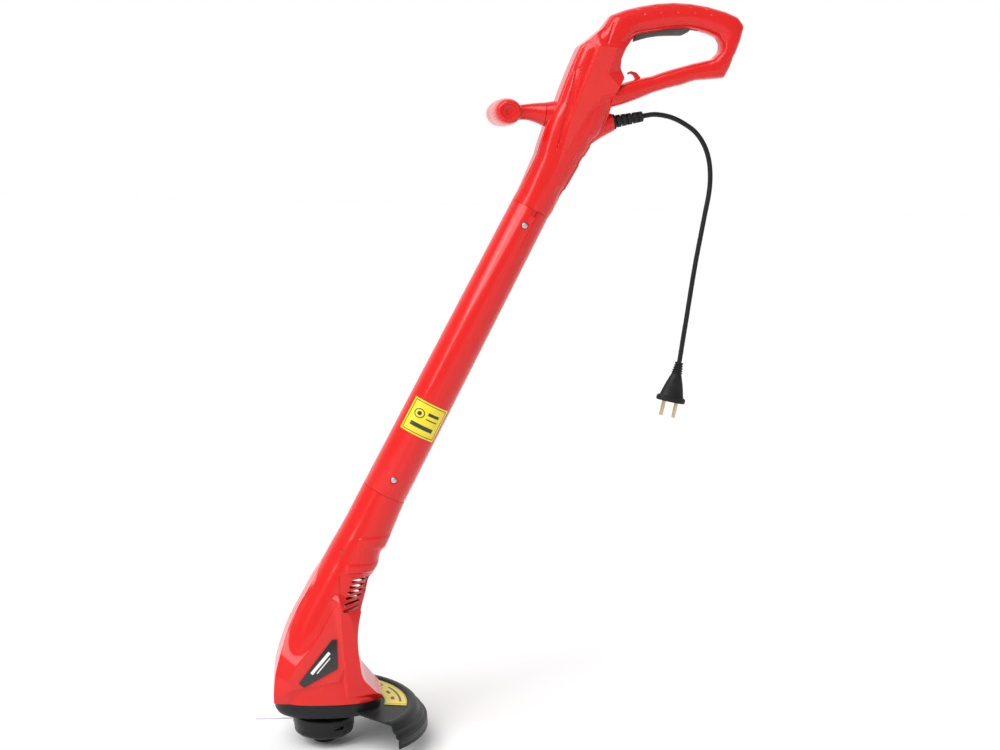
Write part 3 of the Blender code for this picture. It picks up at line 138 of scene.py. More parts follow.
# ---- handle, measured from the middle of the tube's top end ----
GRIP_STATIONS = (
    ((-0.0166, 0.0200), (0.0270, -0.0030), 0.0246, 2.05),
    ((-0.0092, 0.0360), (0.0345, 0.0140), 0.0250, 2.15),
    ((0.0034, 0.0640), (0.0484, 0.0400), 0.0250, 2.4),
    ((0.0086, 0.0820), (0.0594, 0.0600), 0.0250, 2.7),
    ((0.0130, 0.0960), (0.0690, 0.0760), 0.0250, 2.9),
    ((0.0190, 0.1120), (0.0820, 0.0940), 0.0248, 3.0),
    ((0.0272, 0.1280), (0.0900, 0.1140), 0.0246, 3.0),
    ((0.0340, 0.1480), (0.0940, 0.1360), 0.0243, 3.0),
    ((0.0400, 0.1640), (0.1065, 0.1580), 0.0240, 3.0),
    ((0.0440, 0.1740), (0.1010, 0.1690), 0.0238, 3.0),
    ((0.0520, 0.1930), (0.1015, 0.1800), 0.0234, 3.0),
    ((0.0640, 0.2020), (0.1065, 0.1920), 0.0226, 3.0),
    ((0.0800, 0.2160), (0.1140, 0.2020), 0.0212, 2.9),
    ((0.0900, 0.2310), (0.1190, 0.2080), 0.0198, 2.8),
    ((0.1070, 0.2380), (0.1280, 0.2110), 0.0184, 2.6),
    ((0.1260, 0.2430), (0.1400, 0.2130), 0.0176, 2.5),
    ((0.1460, 0.2470), (0.1530, 0.2155), 0.0172, 2.4),
    ((0.1660, 0.2490), (0.1680, 0.2180), 0.0172, 2.4),
    ((0.1880, 0.2485), (0.1830, 0.2190), 0.0172, 2.4),
    ((0.2080, 0.2460), (0.1970, 0.2175), 0.0172, 2.4),
    ((0.2300, 0.2410), (0.2100, 0.2145), 0.0172, 2.5),
    ((0.2460, 0.2350), (0.2205, 0.2105), 0.0170, 2.6),
    ((0.2540, 0.2250), (0.2255, 0.2030), 0.0168, 2.7),
    ((0.2500, 0.2080), (0.2257, 0.1965), 0.0166, 2.8),
    ((0.2440, 0.1910), (0.2235, 0.1895), 0.0164, 2.9),
)
BAR_STATIONS = (
    ((0.2447, 0.1950), (0.2245, 0.1925), 0.0160, 2.9),
    ((0.2380, 0.1750), (0.2165, 0.1845), 0.0162, 2.9),
    ((0.2320, 0.1625), (0.2050, 0.1815), 0.0162, 2.9),
    ((0.2140, 0.1605), (0.1930, 0.1785), 0.0160, 2.9),
    ((0.1960, 0.1585), (0.1800, 0.1745), 0.0158, 2.9),
    ((0.1790, 0.1525), (0.1680, 0.1710), 0.0156, 2.9),
    ((0.1620, 0.1480), (0.1560, 0.1670), 0.0156, 2.9),
    ((0.1440, 0.1420), (0.1430, 0.1620), 0.0158, 2.9),
    ((0.1260, 0.1340), (0.1270, 0.1585), 0.0174, 2.9),
    ((0.1080, 0.1270), (0.1120, 0.1540), 0.0200, 2.9),
    ((0.0895, 0.1215), (0.0950, 0.1470), 0.0232, 2.9),
)
FRONT_BOSS = (
    ((0.0160, 0.1270), (0.0130, 0.0990), 0.0140, 2.2),
    ((0.0300, 0.1300), (0.0250, 0.0960), 0.0160, 2.2),
    ((0.0420, 0.1290), (0.0400, 0.0970), 0.0160, 2.2),
)
SOCKET = (
    ((0.0760, 0.1120), (0.0840, 0.0870), 0.0132, 2.1),
    ((0.0640, 0.1060), (0.0720, 0.0790), 0.0140, 2.1),
)
SOCKET_RADIUS = 0.0106
GLAND_START = (0.0972, 0.1062)
GLAND_END = (0.1349, 0.1143)
GLAND_BORE = 0.0068
HANDLE_SCREWS = (
    ("low", 0.0210, 0.0720),
    ("front", 0.0680, 0.1930),
    ("rear", 0.2340, 0.2030),
    ("bottom", 0.1230, 0.1450),
)
HOOK = (
    (0.1290, 0.1550),
    (0.1290, 0.1600),
    (0.1240, 0.1655),
    (0.1170, 0.1670),
    (0.1130, 0.1650),
    (0.1135, 0.1625),
    (0.1165, 0.1640),
    (0.1205, 0.1620),
    (0.1225, 0.1580),
    (0.1220, 0.1550),
)
SIDE_PANEL = (
    (0.0751, 0.1935),
    (0.0948, 0.1917),
    (0.0856, 0.1612),
    (0.1029, 0.1438),
    (0.0793, 0.1356),
    (0.0644, 0.1186),
    (0.0263, 0.0482),
    (0.0420, 0.1059),
    (0.0591, 0.1523),
)
FLUTE = (
    (0.0472, 0.1681),
    (0.0528, 0.1683),
    (0.0500, 0.1500),
    (0.0400, 0.1100),
    (0.0257, 0.0693),
    (0.0340, 0.1100),
    (0.0437, 0.1488),
)
TOP_GROOVE = ((0.0904, 0.2215), (0.0928, 0.2205), (0.0842, 0.1950), (0.0818, 0.1958))
DIMPLES = (
    (0.1215, 0.2398),
    (0.1422, 0.2426),
    (0.1631, 0.2443),
    (0.1843, 0.2445),
    (0.2051, 0.2432),
    (0.1271, 0.2330),
    (0.1469, 0.2357),
    (0.1676, 0.2371),
    (0.1884, 0.2370),
    (0.2085, 0.2359),
)
REAR_STEPS = ((0.0760, 0.0850), (0.0608, 0.0640), (0.0383, 0.0240))
TRIGGER_PIVOT = (0.1910, 0.2270)
TRIGGER_HALF_WIDTH = 0.0052
TRIGGER_OUTLINE = (
    (0.1195, 0.2015),
    (0.1280, 0.2045),
    (0.1380, 0.2074),
    (0.1490, 0.2094),
    (0.1610, 0.2104),
    (0.1780, 0.2112),
    (0.1850, 0.2150),
)
TRIGGER_BACK = ((0.1780, 0.2220), (0.1300, 0.2178), (0.1205, 0.2130))

# ---- guard ----
GUARD_RADIUS = 0.1280
GUARD_NEAR_ANGLE = math.radians(-47)
GUARD_FAR_ANGLE = math.radians(62)
GUARD_WALL = 0.0026
DECK_TOP = 0.0492
TRAY_TOP = 0.0598
SKIRT_BOTTOM = 0.0220
HUB_HOLE_RADIUS = 0.0130

# ---- cutting head ----
SPOOL_RADIUS = 0.0370
HOUSING_TOP = 0.0370
HOUSING_SPLIT = 0.0223
HOUSING_WALL = 0.0025
COVER_FLOOR = 0.0120
COVER_HOLE_RADIUS = 0.0160
BUTTON_RADIUS = 0.0150
LINE_HEIGHT = 0.0290
LINE_REACH = 0.0840

# ---- mains cord ----
CORD_ROUTE = (
    (0.3752, 0.0000, 0.7743),
    (0.3900, 0.0004, 0.7765),
    (0.4090, 0.0012, 0.7740),
    (0.4260, 0.0024, 0.7672),
    (0.4418, 0.0037, 0.7570),
    (0.4535, 0.0048, 0.7425),
    (0.4607, 0.0056, 0.7250),
    (0.4637, 0.0060, 0.7050),
    (0.4631, 0.0060, 0.6840),
    (0.4590, 0.0056, 0.6580),
    (0.4545, 0.0050, 0.6300),
    (0.4500, 0.0042, 0.6020),
    (0.4455, 0.0032, 0.5700),
    (0.4410, 0.0020, 0.5350),
    (0.4370, 0.0010, 0.5050),
    (0.4332, 0.0000, 0.4753),
)
PLUG_LENGTH = 0.0500
PLUG_RADIUS = 0.0185
PLUG_LEAN = Vector((-0.26, 0.0, -0.966))
PIN_RADIUS = 0.0024
PIN_LENGTH = 0.0190
PIN_SPACING = 0.0160

# ---- camera ----
CAMERA_PLACE = Vector((-0.0541, -1.7483, 0.7002))
CAMERA_RIGHT = Vector((0.9891, -0.1451, 0.0259))
CAMERA_UP = Vector((-0.0056, 0.1382, 0.9904))
CAMERA_AHEAD = Vector((0.1473, 0.9797, -0.1359))
CAMERA_LENS = 52.7


# ---------------------------------------------------------------- settings a user may change


class TrimmerSizes(bpy.types.PropertyGroup):
    """Sizes of the surface detail."""

    cord_radius: FloatProperty(
        name="Cord Radius", description="Half the cord's thickness", default=0.003, unit="LENGTH"
    )
    dimple_radius: FloatProperty(
        name="Dimple Radius", description="Radius of a dimple in the grip", default=0.0021, unit="LENGTH"
    )
    dimple_depth: FloatProperty(
        name="Dimple Depth", description="Depth of a dimple in the grip", default=0.0010, unit="LENGTH"
    )
    flute_depth: FloatProperty(
        name="Flute Depth", description="Depth of the slender flute on the handle", default=0.0016, unit="LENGTH"
    )
    ridge_height: FloatProperty(
        name="Ridge Height", description="How far the neck's ridges stand out", default=0.0010, unit="LENGTH"
    )
    edge_round: FloatProperty(
        name="Edge Rounding", description="Rounding on small moulded edges", default=0.0006, unit="LENGTH"
    )
    skin_step: FloatProperty(
        name="Skin Step", description="Spacing of the shells' sections", default=0.0013, unit="LENGTH"
    )


def colour_setting(name, default):
    return FloatVectorProperty(
        name=name, description=f"{name} in linear light", subtype="COLOR", default=default, min=0.0, max=1.0
    )


class TrimmerColours(bpy.types.PropertyGroup):
    """Base colours of the finishes."""

    red: colour_setting("Gloss Red", (0.700, 0.010, 0.008))
    matt_red: colour_setting("Textured Red", (0.690, 0.026, 0.022))
    black: colour_setting("Base Black", (0.009, 0.010, 0.011))
    label: colour_setting("Label Yellow", (0.860, 0.700, 0.012))
    ink: colour_setting("Label Ink", (0.012, 0.012, 0.012))
    line: colour_setting("Cutting Line", (0.560, 0.500, 0.620))


def sizes():
    return bpy.context.scene.trimmer_sizes


def colours():
    return bpy.context.scene.trimmer_colours


# ---------------------------------------------------------------- finishes


class Value:
    """A shader socket that adds up like a number."""

    def __init__(self, finish, socket):
        self.finish = finish
        self.socket = socket

    def math(self, operation, *others):
        return self.finish.node("ShaderNodeMath", {"operation": operation}, dict(enumerate((self, *others))))

    def __add__(self, other):
        return self.math("ADD", other)

    def __radd__(self, other):
        return self.math("ADD", other)

    def __sub__(self, other):
        return self.math("SUBTRACT", other)

    def __rsub__(self, other):
        return self.finish.node("ShaderNodeMath", {"operation": "SUBTRACT"}, {0: other, 1: self})

    def __mul__(self, other):
        return self.math("MULTIPLY", other)

    def __rmul__(self, other):
        return self.math("MULTIPLY", other)

    def __truediv__(self, other):
        return self.math("DIVIDE", other)

    def absolute(self):
        return self.math("ABSOLUTE")

    def below(self, limit):
        return self.math("LESS_THAN", limit)

    def above(self, limit):
        return self.math("GREATER_THAN", limit)

    def wave(self):
        return self.math("SINE")

    def both(self, other):
        return self.math("MINIMUM", other)

    def either(self, other):
        return self.math("MAXIMUM", other)


class Finish:
    """One material and the few calls that fill its node tree."""

    def __init__(self, name):
        self.material = bpy.data.materials.new(name)
        self.material.use_nodes = True
        self.tree = self.material.node_tree
        self.tree.nodes.clear()
        self.places = self.node("ShaderNodeTexCoord", out="Object")

    def node(self, kind, settings=None, sockets=None, out=0):
        made = self.tree.nodes.new(kind)
        for key, value in (settings or {}).items():
            setattr(made, key, value)
        for key, value in (sockets or {}).items():
            if isinstance(value, Value):
                self.tree.links.new(value.socket, made.inputs[key])
            else:
                made.inputs[key].default_value = value
        return Value(self, made.outputs[out])

    def noise(self, size, detail=3.0, roughness=0.5, stretch=None):
        """Noise from 0 to 1 whose spots are about size across, in metres."""
        places = self.places
        if stretch:
            places = self.node("ShaderNodeMapping", {}, {"Vector": places, "Scale": stretch})
        sockets = {"Vector": places, "Scale": 1.0 / size, "Detail": detail, "Roughness": roughness}
        return self.node("ShaderNodeTexNoise", {}, sockets)

    def parts(self, vector):
        return [self.node("ShaderNodeSeparateXYZ", {}, {0: vector}, out=index) for index in range(3)]

    def step(self, value, low, high, to_low=0.0, to_high=1.0):
        """Maps a value smoothly from one range to another."""
        sockets = {"Value": value, "From Min": low, "From Max": high, "To Min": to_low, "To Max": to_high}
        return self.node("ShaderNodeMapRange", {"interpolation_type": "SMOOTHSTEP"}, sockets)

    def mix(self, share, first, second):
        """A colour between two colours."""
        chosen = {0: share}
        for key, value in ((6, first), (7, second)):
            chosen[key] = value if isinstance(value, Value) else (*value, 1.0)
        return self.node("ShaderNodeMix", {"data_type": "RGBA"}, chosen, out=2)

    def bump(self, height, distance, strength=1.0, under=None):
        sockets = {"Height": height, "Distance": distance, "Strength": strength}
        if under:
            sockets["Normal"] = under
        return self.node("ShaderNodeBump", {}, sockets)

    def close(self, **looks):
        """Adds the shader; underscores in a name stand for spaces."""
        sockets = {}
        for key, value in looks.items():
            if not isinstance(value, Value) and isinstance(value, tuple):
                value = (*value, 1.0)
            sockets[key.replace("_", " ")] = value
        shader = self.node("ShaderNodeBsdfPrincipled", {}, sockets)
        self.node_output(shader)
        return self.material

    def node_output(self, shader):
        made = self.tree.nodes.new("ShaderNodeOutputMaterial")
        self.tree.links.new(shader.socket, made.inputs["Surface"])


def tint(colour, factor):
    return tuple(min(channel * factor, 1.0) for channel in colour)


def red_plastic(finish, colour, roughness, grain, grain_height):
    """Moulded plastic: slow colour drift, faint flow marks, fine scuffs and a skin of grain."""
    cloud = finish.noise(0.060, 2.0)
    speck = finish.noise(0.0011, 2.0)
    body = finish.mix(cloud, tint(colour, 0.96), tint(colour, 1.05))
    body = finish.mix(speck * 0.16, body, tint(colour, 0.86))
    scuff = finish.step(finish.noise(0.0040, 6.0, 0.7, (1.0, 1.0, 0.12)), 0.60, 0.72)
    shine = roughness + (finish.noise(0.018, 4.0) - 0.5) * 0.08 + scuff * 0.09
    skin = finish.bump(finish.noise(0.0090, 2.0), 0.00016, 0.35)
    skin = finish.bump(finish.noise(grain, 3.0), grain_height, 0.6, skin)
    return body, shine, skin


def gloss_red():
    finish = Finish("Gloss red plastic")
    body, shine, skin = red_plastic(finish, tuple(colours().red), 0.24, 0.0016, 0.000022)
    return finish.close(
        Base_Color=body, Roughness=shine, Normal=skin, Specular_IOR_Level=0.30, Coat_Weight=0.30, Coat_Roughness=0.08
    )


def matt_red():
    finish = Finish("Textured red plastic")
    body, shine, skin = red_plastic(finish, tuple(colours().matt_red), 0.46, 0.0005, 0.00007)
    return finish.close(Base_Color=body, Roughness=shine, Normal=skin, Specular_IOR_Level=0.40)


def base_black():
    finish = Finish("Grained black plastic")
    black = tuple(colours().black)
    cloud = finish.noise(0.030, 3.0)
    grain = finish.noise(0.00045, 3.0, 0.6)
    dust = finish.step(finish.noise(0.012, 6.0, 0.65), 0.56, 0.80)
    body = finish.mix(cloud, tint(black, 0.8), tint(black, 1.3))
    body = finish.mix(dust * 0.10, body, (0.16, 0.15, 0.13))
    shine = 0.40 + (cloud - 0.5) * 0.12 + grain * 0.10
    skin = finish.bump(grain, 0.00006, 0.7)
    return finish.close(Base_Color=body, Roughness=shine, Normal=skin, Specular_IOR_Level=0.28)


def satin_black():
    finish = Finish("Satin black plastic")
    black = tuple(colours().black)
    cloud = finish.noise(0.010, 3.0)
    rub = finish.step(finish.noise(0.0030, 7.0, 0.7, (1.0, 1.0, 4.0)), 0.58, 0.72)
    body = finish.mix(cloud, tint(black, 0.55), tint(black, 1.0))
    body = finish.mix(rub * 0.15, body, (0.09, 0.09, 0.09))
    skin = finish.bump(finish.noise(0.0007, 3.0), 0.00003, 0.6)
    shine = 0.30 + rub * 0.16 + cloud * 0.08
    return finish.close(Base_Color=body, Roughness=shine, Normal=skin, Specular_IOR_Level=0.28)


def trigger_grey():
    finish = Finish("Dark grey trigger plastic")
    cloud = finish.noise(0.008, 3.0)
    grain = finish.noise(0.0004, 3.0)
    body = finish.mix(cloud, (0.060, 0.060, 0.058), (0.095, 0.094, 0.088))
    skin = finish.bump(grain, 0.00005, 0.7)
    return finish.close(Base_Color=body, Roughness=0.42 + grain * 0.14, Normal=skin)


def cord_rubber():
    finish = Finish("Black cord sheath")
    cloud = finish.noise(0.015, 3.0)
    grain = finish.noise(0.0006, 4.0, 0.6)
    bloom = finish.step(finish.noise(0.006, 5.0), 0.55, 0.80)
    body = finish.mix(cloud, (0.005, 0.005, 0.006), (0.011, 0.011, 0.012))
    body = finish.mix(bloom * 0.10, body, (0.06, 0.06, 0.065))
    skin = finish.bump(grain, 0.00004, 0.6)
    shine = 0.42 + cloud * 0.14
    return finish.close(Base_Color=body, Roughness=shine, Normal=skin, Specular_IOR_Level=0.28)


def bright_metal(name, colour, rough, turned=True):
    """Metal with fine tool marks and stains."""
    finish = Finish(name)
    marks = finish.noise(0.0016, 5.0, 0.6, (1.0, 1.0, 9.0) if turned else (1.0, 8.0, 1.0))
    stain = finish.noise(0.006, 4.0)
    body = finish.mix(stain, tint(colour, 0.78), tint(colour, 1.08))
    skin = finish.bump(marks, 0.00003, 0.5)
    shine = rough + marks * 0.14 + (stain - 0.5) * 0.10
    return finish.close(Base_Color=body, Metallic=1.0, Roughness=shine, Normal=skin)


def banded(name, first, second, pitch, metallic, rough):
    """Stacked sheets or laid wire: thin bands across the cutting axis."""
    finish = Finish(name)
    across = finish.parts(finish.places)[2]
    band = (across * (2 * math.pi / pitch)).wave() * 0.5 + 0.5
    cloud = finish.noise(0.005, 4.0)
    body = finish.mix(band * 0.7 + cloud * 0.3, first, second)
    skin = finish.bump(band, pitch * 0.2, 0.6)
    return finish.close(Base_Color=body, Metallic=metallic, Roughness=rough + cloud * 0.15, Normal=skin)


def grained(name, colour, rough, grain, height):
    """A plain moulded or pressed surface with clouding and grain."""
    finish = Finish(name)
    cloud = finish.noise(0.007, 4.0)
    speck = finish.noise(grain, 3.0, 0.65)
    body = finish.mix(cloud, tint(colour, 0.75), tint(colour, 1.2))
    body = finish.mix(speck * 0.25, body, tint(colour, 0.6))
    return finish.close(
        Base_Color=body, Roughness=rough + speck * 0.15, Normal=finish.bump(speck, height, 0.6)
    )


def line_nylon():
    finish = Finish("Nylon cutting line")
    line = tuple(colours().line)
    cloud = finish.noise(0.004, 3.0)
    body = finish.mix(cloud, tint(line, 0.8), tint(line, 1.15))
    skin = finish.bump(finish.noise(0.0008, 2.0), 0.00004, 0.6)
    return finish.close(Base_Color=body, Roughness=0.28 + cloud * 0.12, Normal=skin, IOR=1.53)


def sheet_coordinates(finish):
    """The label's own flat coordinates, each from 0 to 1."""
    flat = finish.node("ShaderNodeUVMap", {"uv_map": "label"})
    return finish.parts(flat)[:2]


def printed_label(name, ink_mask, paper_scale):
    """A yellow printed sticker with an even coat and slightly uneven ink."""
    finish = Finish(name)
    across, up = sheet_coordinates(finish)
    ink = ink_mask(finish, across, up)
    cloud = finish.noise(0.010, 3.0)
    fibre = finish.noise(paper_scale, 4.0, 0.6)
    yellow = tuple(colours().label)
    paper = finish.mix(cloud, tint(yellow, 0.93), tint(yellow, 1.04))
    paper = finish.mix(fibre * 0.10, paper, tint(yellow, 0.75))
    body = finish.mix(ink, paper, finish.mix(fibre, tuple(colours().ink), (0.05, 0.05, 0.05)))
    skin = finish.bump(fibre + ink * 0.6, 0.00003, 0.5)
    return finish.close(
        Base_Color=body, Roughness=0.30 + fibre * 0.12 + ink * 0.06, Normal=skin, Coat_Weight=0.2
    )


def bar_mask(across, up, middle, half_length, height, half_height):
    return (across - middle).absolute().below(half_length).both((up - height).absolute().below(half_height))


def frame_mask(across, up, inset, width):
    """A thin border line inside the label's edge."""
    away = (across - 0.5).absolute().either((up - 0.5).absolute())
    return away.below(0.5 - inset).both(away.above(0.5 - inset - width))


def square_marks(finish, across, up):
    """A border, a disc with a ring and three plain bars."""
    border = frame_mask(across, up, 0.045, 0.022)
    column = (across - 0.30).math("MULTIPLY", 1.0)
    row = up - 0.62
    reach = (column * column + row * row).math("SQRT")
    disc = reach.below(0.060).either((reach - 0.125).absolute().below(0.014))
    bars = bar_mask(across, up, 0.66, 0.15, 0.70, 0.045)
    bars = bars.either(bar_mask(across, up, 0.66, 0.15, 0.54, 0.018))
    bars = bars.either(bar_mask(across, up, 0.50, 0.31, 0.28, 0.060))
    return border.either(disc).either(bars)


def guard_marks(finish, across, up):
    """A border and a row of slanting blocks beside a plain disc."""
    border = frame_mask(across, up, 0.030, 0.016)
    slant = ((across * 26.0 + up * 3.0).wave().above(0.1)).both(up.above(0.30)).both(up.below(0.46))
    slant = slant.both(across.above(0.30)).both(across.below(0.92))
    column, row = (across - 0.15) * 2.6, up - 0.52
    reach = (column * column + row * row).math("SQRT")
    disc = reach.below(0.10).either((reach - 0.20).absolute().below(0.03))
    bar = bar_mask(across, up, 0.60, 0.28, 0.70, 0.05)
    return border.either(slant).either(disc).either(bar)


def badge_plate():
    """A black plate with two plain pale stripes that follow its slope."""
    finish = Finish("Badge plate")
    x, _, z = finish.parts(finish.places)
    along = x * 0.642 + (z - 0.1125) * 0.766 + 0.0037
    off = (z - 0.1125) * 0.642 - x * 0.766 - 0.0052
    length = along.absolute().below(0.0165)
    stripe = length.both(off.absolute().below(0.0019))
    stripe = stripe.either(along.absolute().below(0.0120).both((off + 0.0048).absolute().below(0.0007)))
    cloud = finish.noise(0.005, 4.0)
    body = finish.mix(cloud, (0.008, 0.008, 0.009), (0.016, 0.016, 0.017))
    body = finish.mix(stripe, body, (0.80, 0.80, 0.80))
    skin = finish.bump(finish.noise(0.0006, 3.0), 0.00002, 0.5)
    return finish.close(Base_Color=body, Roughness=0.26 + cloud * 0.10, Normal=skin, Coat_Weight=0.3)


MAKERS = {
    "gloss_red": gloss_red,
    "matt_red": matt_red,
    "base_black": base_black,
    "satin_black": satin_black,
    "trigger_grey": trigger_grey,
    "cord_rubber": cord_rubber,
    "line_nylon": line_nylon,
    "badge_plate": badge_plate,
    "screw_steel": lambda: bright_metal("Zinc plated steel", (0.62, 0.62, 0.63), 0.24),
    "blade_steel": lambda: bright_metal("Ground blade steel", (0.58, 0.58, 0.60), 0.22, False),
    "pin_brass": lambda: bright_metal("Nickel plated brass", (0.62, 0.47, 0.30), 0.22),
    "lamination": lambda: banded("Stacked core sheets", (0.16, 0.16, 0.17), (0.34, 0.34, 0.35), 0.001, 0.9, 0.38),
    "winding": lambda: banded("Enamelled copper wire", (0.40, 0.12, 0.05), (0.80, 0.34, 0.15), 0.0008, 0.8, 0.25),
    "bar_copper": lambda: bright_metal("Turned copper", (0.78, 0.38, 0.20), 0.22, False),
    "brush_carbon": lambda: grained("Pressed carbon", (0.035, 0.035, 0.037), 0.55, 0.0003, 0.00006),
    "bracket_grey": lambda: grained("Filled grey plastic", (0.11, 0.11, 0.11), 0.45, 0.0005, 0.00005),
    "film_case": lambda: grained("Capacitor case", (0.70, 0.48, 0.06), 0.35, 0.0010, 0.00004),
    "inner_black": lambda: grained("Plain black moulding", (0.022, 0.022, 0.023), 0.40, 0.0006, 0.00004),
    "tube_label": lambda: printed_label("Square yellow label", square_marks, 0.0007),
    "sector_label": lambda: printed_label("Guard yellow label", guard_marks, 0.0007),
}
LOOKS = {}


def look(name):
    if name not in LOOKS:
        LOOKS[name] = MAKERS[name]()
    return LOOKS[name]


# ---------------------------------------------------------------- mesh work


def deselect():
    if bpy.context.mode != "OBJECT":
        bpy.ops.object.mode_set(mode="OBJECT")
    bpy.ops.object.select_all(action="DESELECT")


def pick(item):
    deselect()
    item.select_set(True)
    bpy.context.view_layer.objects.active = item
    return item


def settle(item, name, materials):
    """Puts a piece's place into its mesh, smooths it and gives it its finishes."""
    pick(item)
    bpy.ops.object.transform_apply(location=True, rotation=True, scale=True)
    bpy.ops.object.shade_smooth_by_angle(angle=SMOOTH_ANGLE)
    item.name = item.data.name = name
    item.data.materials.clear()
    for made in materials:
        item.data.materials.append(look(made))
    return item


def tidy_mesh(item):
    """Closes doubled points and turns all faces outwards."""
    pick(item)
    bpy.ops.object.mode_set(mode="EDIT")
    bpy.ops.mesh.select_all(action="SELECT")
    bpy.ops.mesh.remove_doubles(threshold=1e-7)
    bpy.ops.mesh.normals_make_consistent(inside=False)
    bpy.ops.object.mode_set(mode="OBJECT")
    return item


def skin(name, loops, closed=False):
    """A mesh from rings of points; closed also joins the last ring to the first."""
    loops = np.asarray(loops, float)
    rings, count = loops.shape[:2]
    index = np.arange(rings * count).reshape(rings, count)
    low = index if closed else index[:-1]
    high = np.roll(index, -1, axis=0) if closed else index[1:]
    quads = np.stack([low, np.roll(low, -1, 1), np.roll(high, -1, 1), high], axis=-1).reshape(-1, 4)
    faces = quads.tolist()
    if not closed:
        faces += [index[0][::-1].tolist(), index[-1].tolist()]
    mesh = bpy.data.meshes.new(name)
    mesh.from_pydata(loops.reshape(-1, 3).tolist(), [], faces)
    item = bpy.data.objects.new(name, mesh)
    bpy.context.scene.collection.objects.link(item)
    return tidy_mesh(item)


def use_modifier(item, kind, **settings):
    pick(item)
    step = item.modifiers.new(kind.title(), kind)
    for key, value in settings.items():
        setattr(step, key, value)
    bpy.ops.object.modifier_apply(modifier=step.name)
    return item


def combine(item, tool, operation):
    """Unites with, or cuts by, another mesh and removes that mesh."""
    use_modifier(item, "BOOLEAN", operation=operation, object=tool, solver="EXACT")
    bpy.data.objects.remove(tool, do_unlink=True)
    return item


def soften(item, width, segments=3, angle=30):
    return use_modifier(
        item,
        "BEVEL",
        width=width,
        segments=segments,
        limit_method="ANGLE",
        angle_limit=math.radians(angle),
        harden_normals=False,
    )


def along(start, direction):
    """A matrix that puts the origin at start and turns +Z towards direction."""
    turn = Vector(direction).to_track_quat("Z", "Y").to_matrix().to_4x4()
    return Matrix.Translation(Vector(start)) @ turn


def lathe(profile, steps=64, place=None):
    """A turned part: a circle extruded and scaled from point to point of a (radius, height) outline."""
    deselect()
    tiny = 1e-6
    rounds = [(max(radius, tiny), height) for radius, height in profile]
    ring = profile[0][0] > 0.0 and profile[-1][0] > 0.0
    if ring:
        rounds.append(rounds[0])
    first, height = rounds[0]
    bpy.ops.mesh.primitive_circle_add(vertices=steps, radius=first, location=(0, 0, height))
    item = bpy.context.object
    bpy.ops.object.transform_apply(location=True, rotation=False, scale=False)
    bpy.ops.object.mode_set(mode="EDIT")
    bpy.ops.mesh.select_all(action="SELECT")
    for (radius, low), (wide, high) in zip(rounds, rounds[1:]):
        rise = {"value": (0, 0, high - low)}
        bpy.ops.mesh.extrude_region_move(TRANSFORM_OT_translate=rise)
        if abs(wide - radius) > 1e-9:
            grow = wide / radius
            bpy.ops.transform.resize(value=(grow, grow, 1), center_override=(0, 0, high))
    bpy.ops.mesh.select_all(action="SELECT")
    bpy.ops.mesh.remove_doubles(threshold=4e-6)
    bpy.ops.mesh.normals_make_consistent(inside=False)
    bpy.ops.object.mode_set(mode="OBJECT")
    if place is not None:
        item.data.transform(place)
    return item


def bar_between(start, end, radius, steps=32):
    start, end = Vector(start), Vector(end)
    length = (end - start).length
    return lathe([(0, 0), (radius, 0), (radius, length), (0, length)], steps, along(start, end - start))


def box_between(low, high, rounding=0.0):
    deselect()
    low, high = Vector(low), Vector(high)
    bpy.ops.mesh.primitive_cube_add(size=1.0, location=(low + high) / 2, scale=high - low)
    item = bpy.context.object
    bpy.ops.object.transform_apply(location=True, rotation=True, scale=True)
    if rounding:
        soften(item, rounding)
    return item


def plate(outline, low, high, rounding=0.0):
    """A flat (x, z) outline extruded along Y and rounded at its edges."""
    item = skin("plate", [[(x, low, z) for x, z in outline], [(x, high, z) for x, z in outline]])
    if rounding:
        soften(item, rounding)
    return item


def join(items):
    deselect()
    for item in items:
        item.select_set(True)
    bpy.context.view_layer.objects.active = items[0]
    bpy.ops.object.join()
    return items[0]


# ---------------------------------------------------------------- moulded sections


def straight(stations, step, soft):
    """Sections on straight runs between the given ones, with corners eased over about soft."""
    rows = np.array([[*front, *rear, half, square] for front, rear, half, square in stations])
    chord = np.maximum(
        np.linalg.norm(np.diff(rows[:, :2], axis=0), axis=1),
        np.linalg.norm(np.diff(rows[:, 2:4], axis=0), axis=1),
    )
    at = np.concatenate([[0.0], np.cumsum(chord)])
    fine = np.linspace(0, at[-1], int(math.ceil(at[-1] / step)) + 1)
    made = np.stack([np.interp(fine, at, rows[:, index]) for index in range(6)], axis=-1)
    reach = int(math.ceil(3 * soft / step))
    weights = np.exp(-0.5 * (np.arange(-reach, reach + 1) * step / soft) ** 2)
    weights /= weights.sum()
    before = 2 * made[0] - made[1 : reach + 1][::-1]
    after = 2 * made[-1] - made[-reach - 1 : -1][::-1]
    padded = np.concatenate([before, made, after])
    return np.stack([np.convolve(padded[:, index], weights, "valid") for index in range(6)], axis=-1)


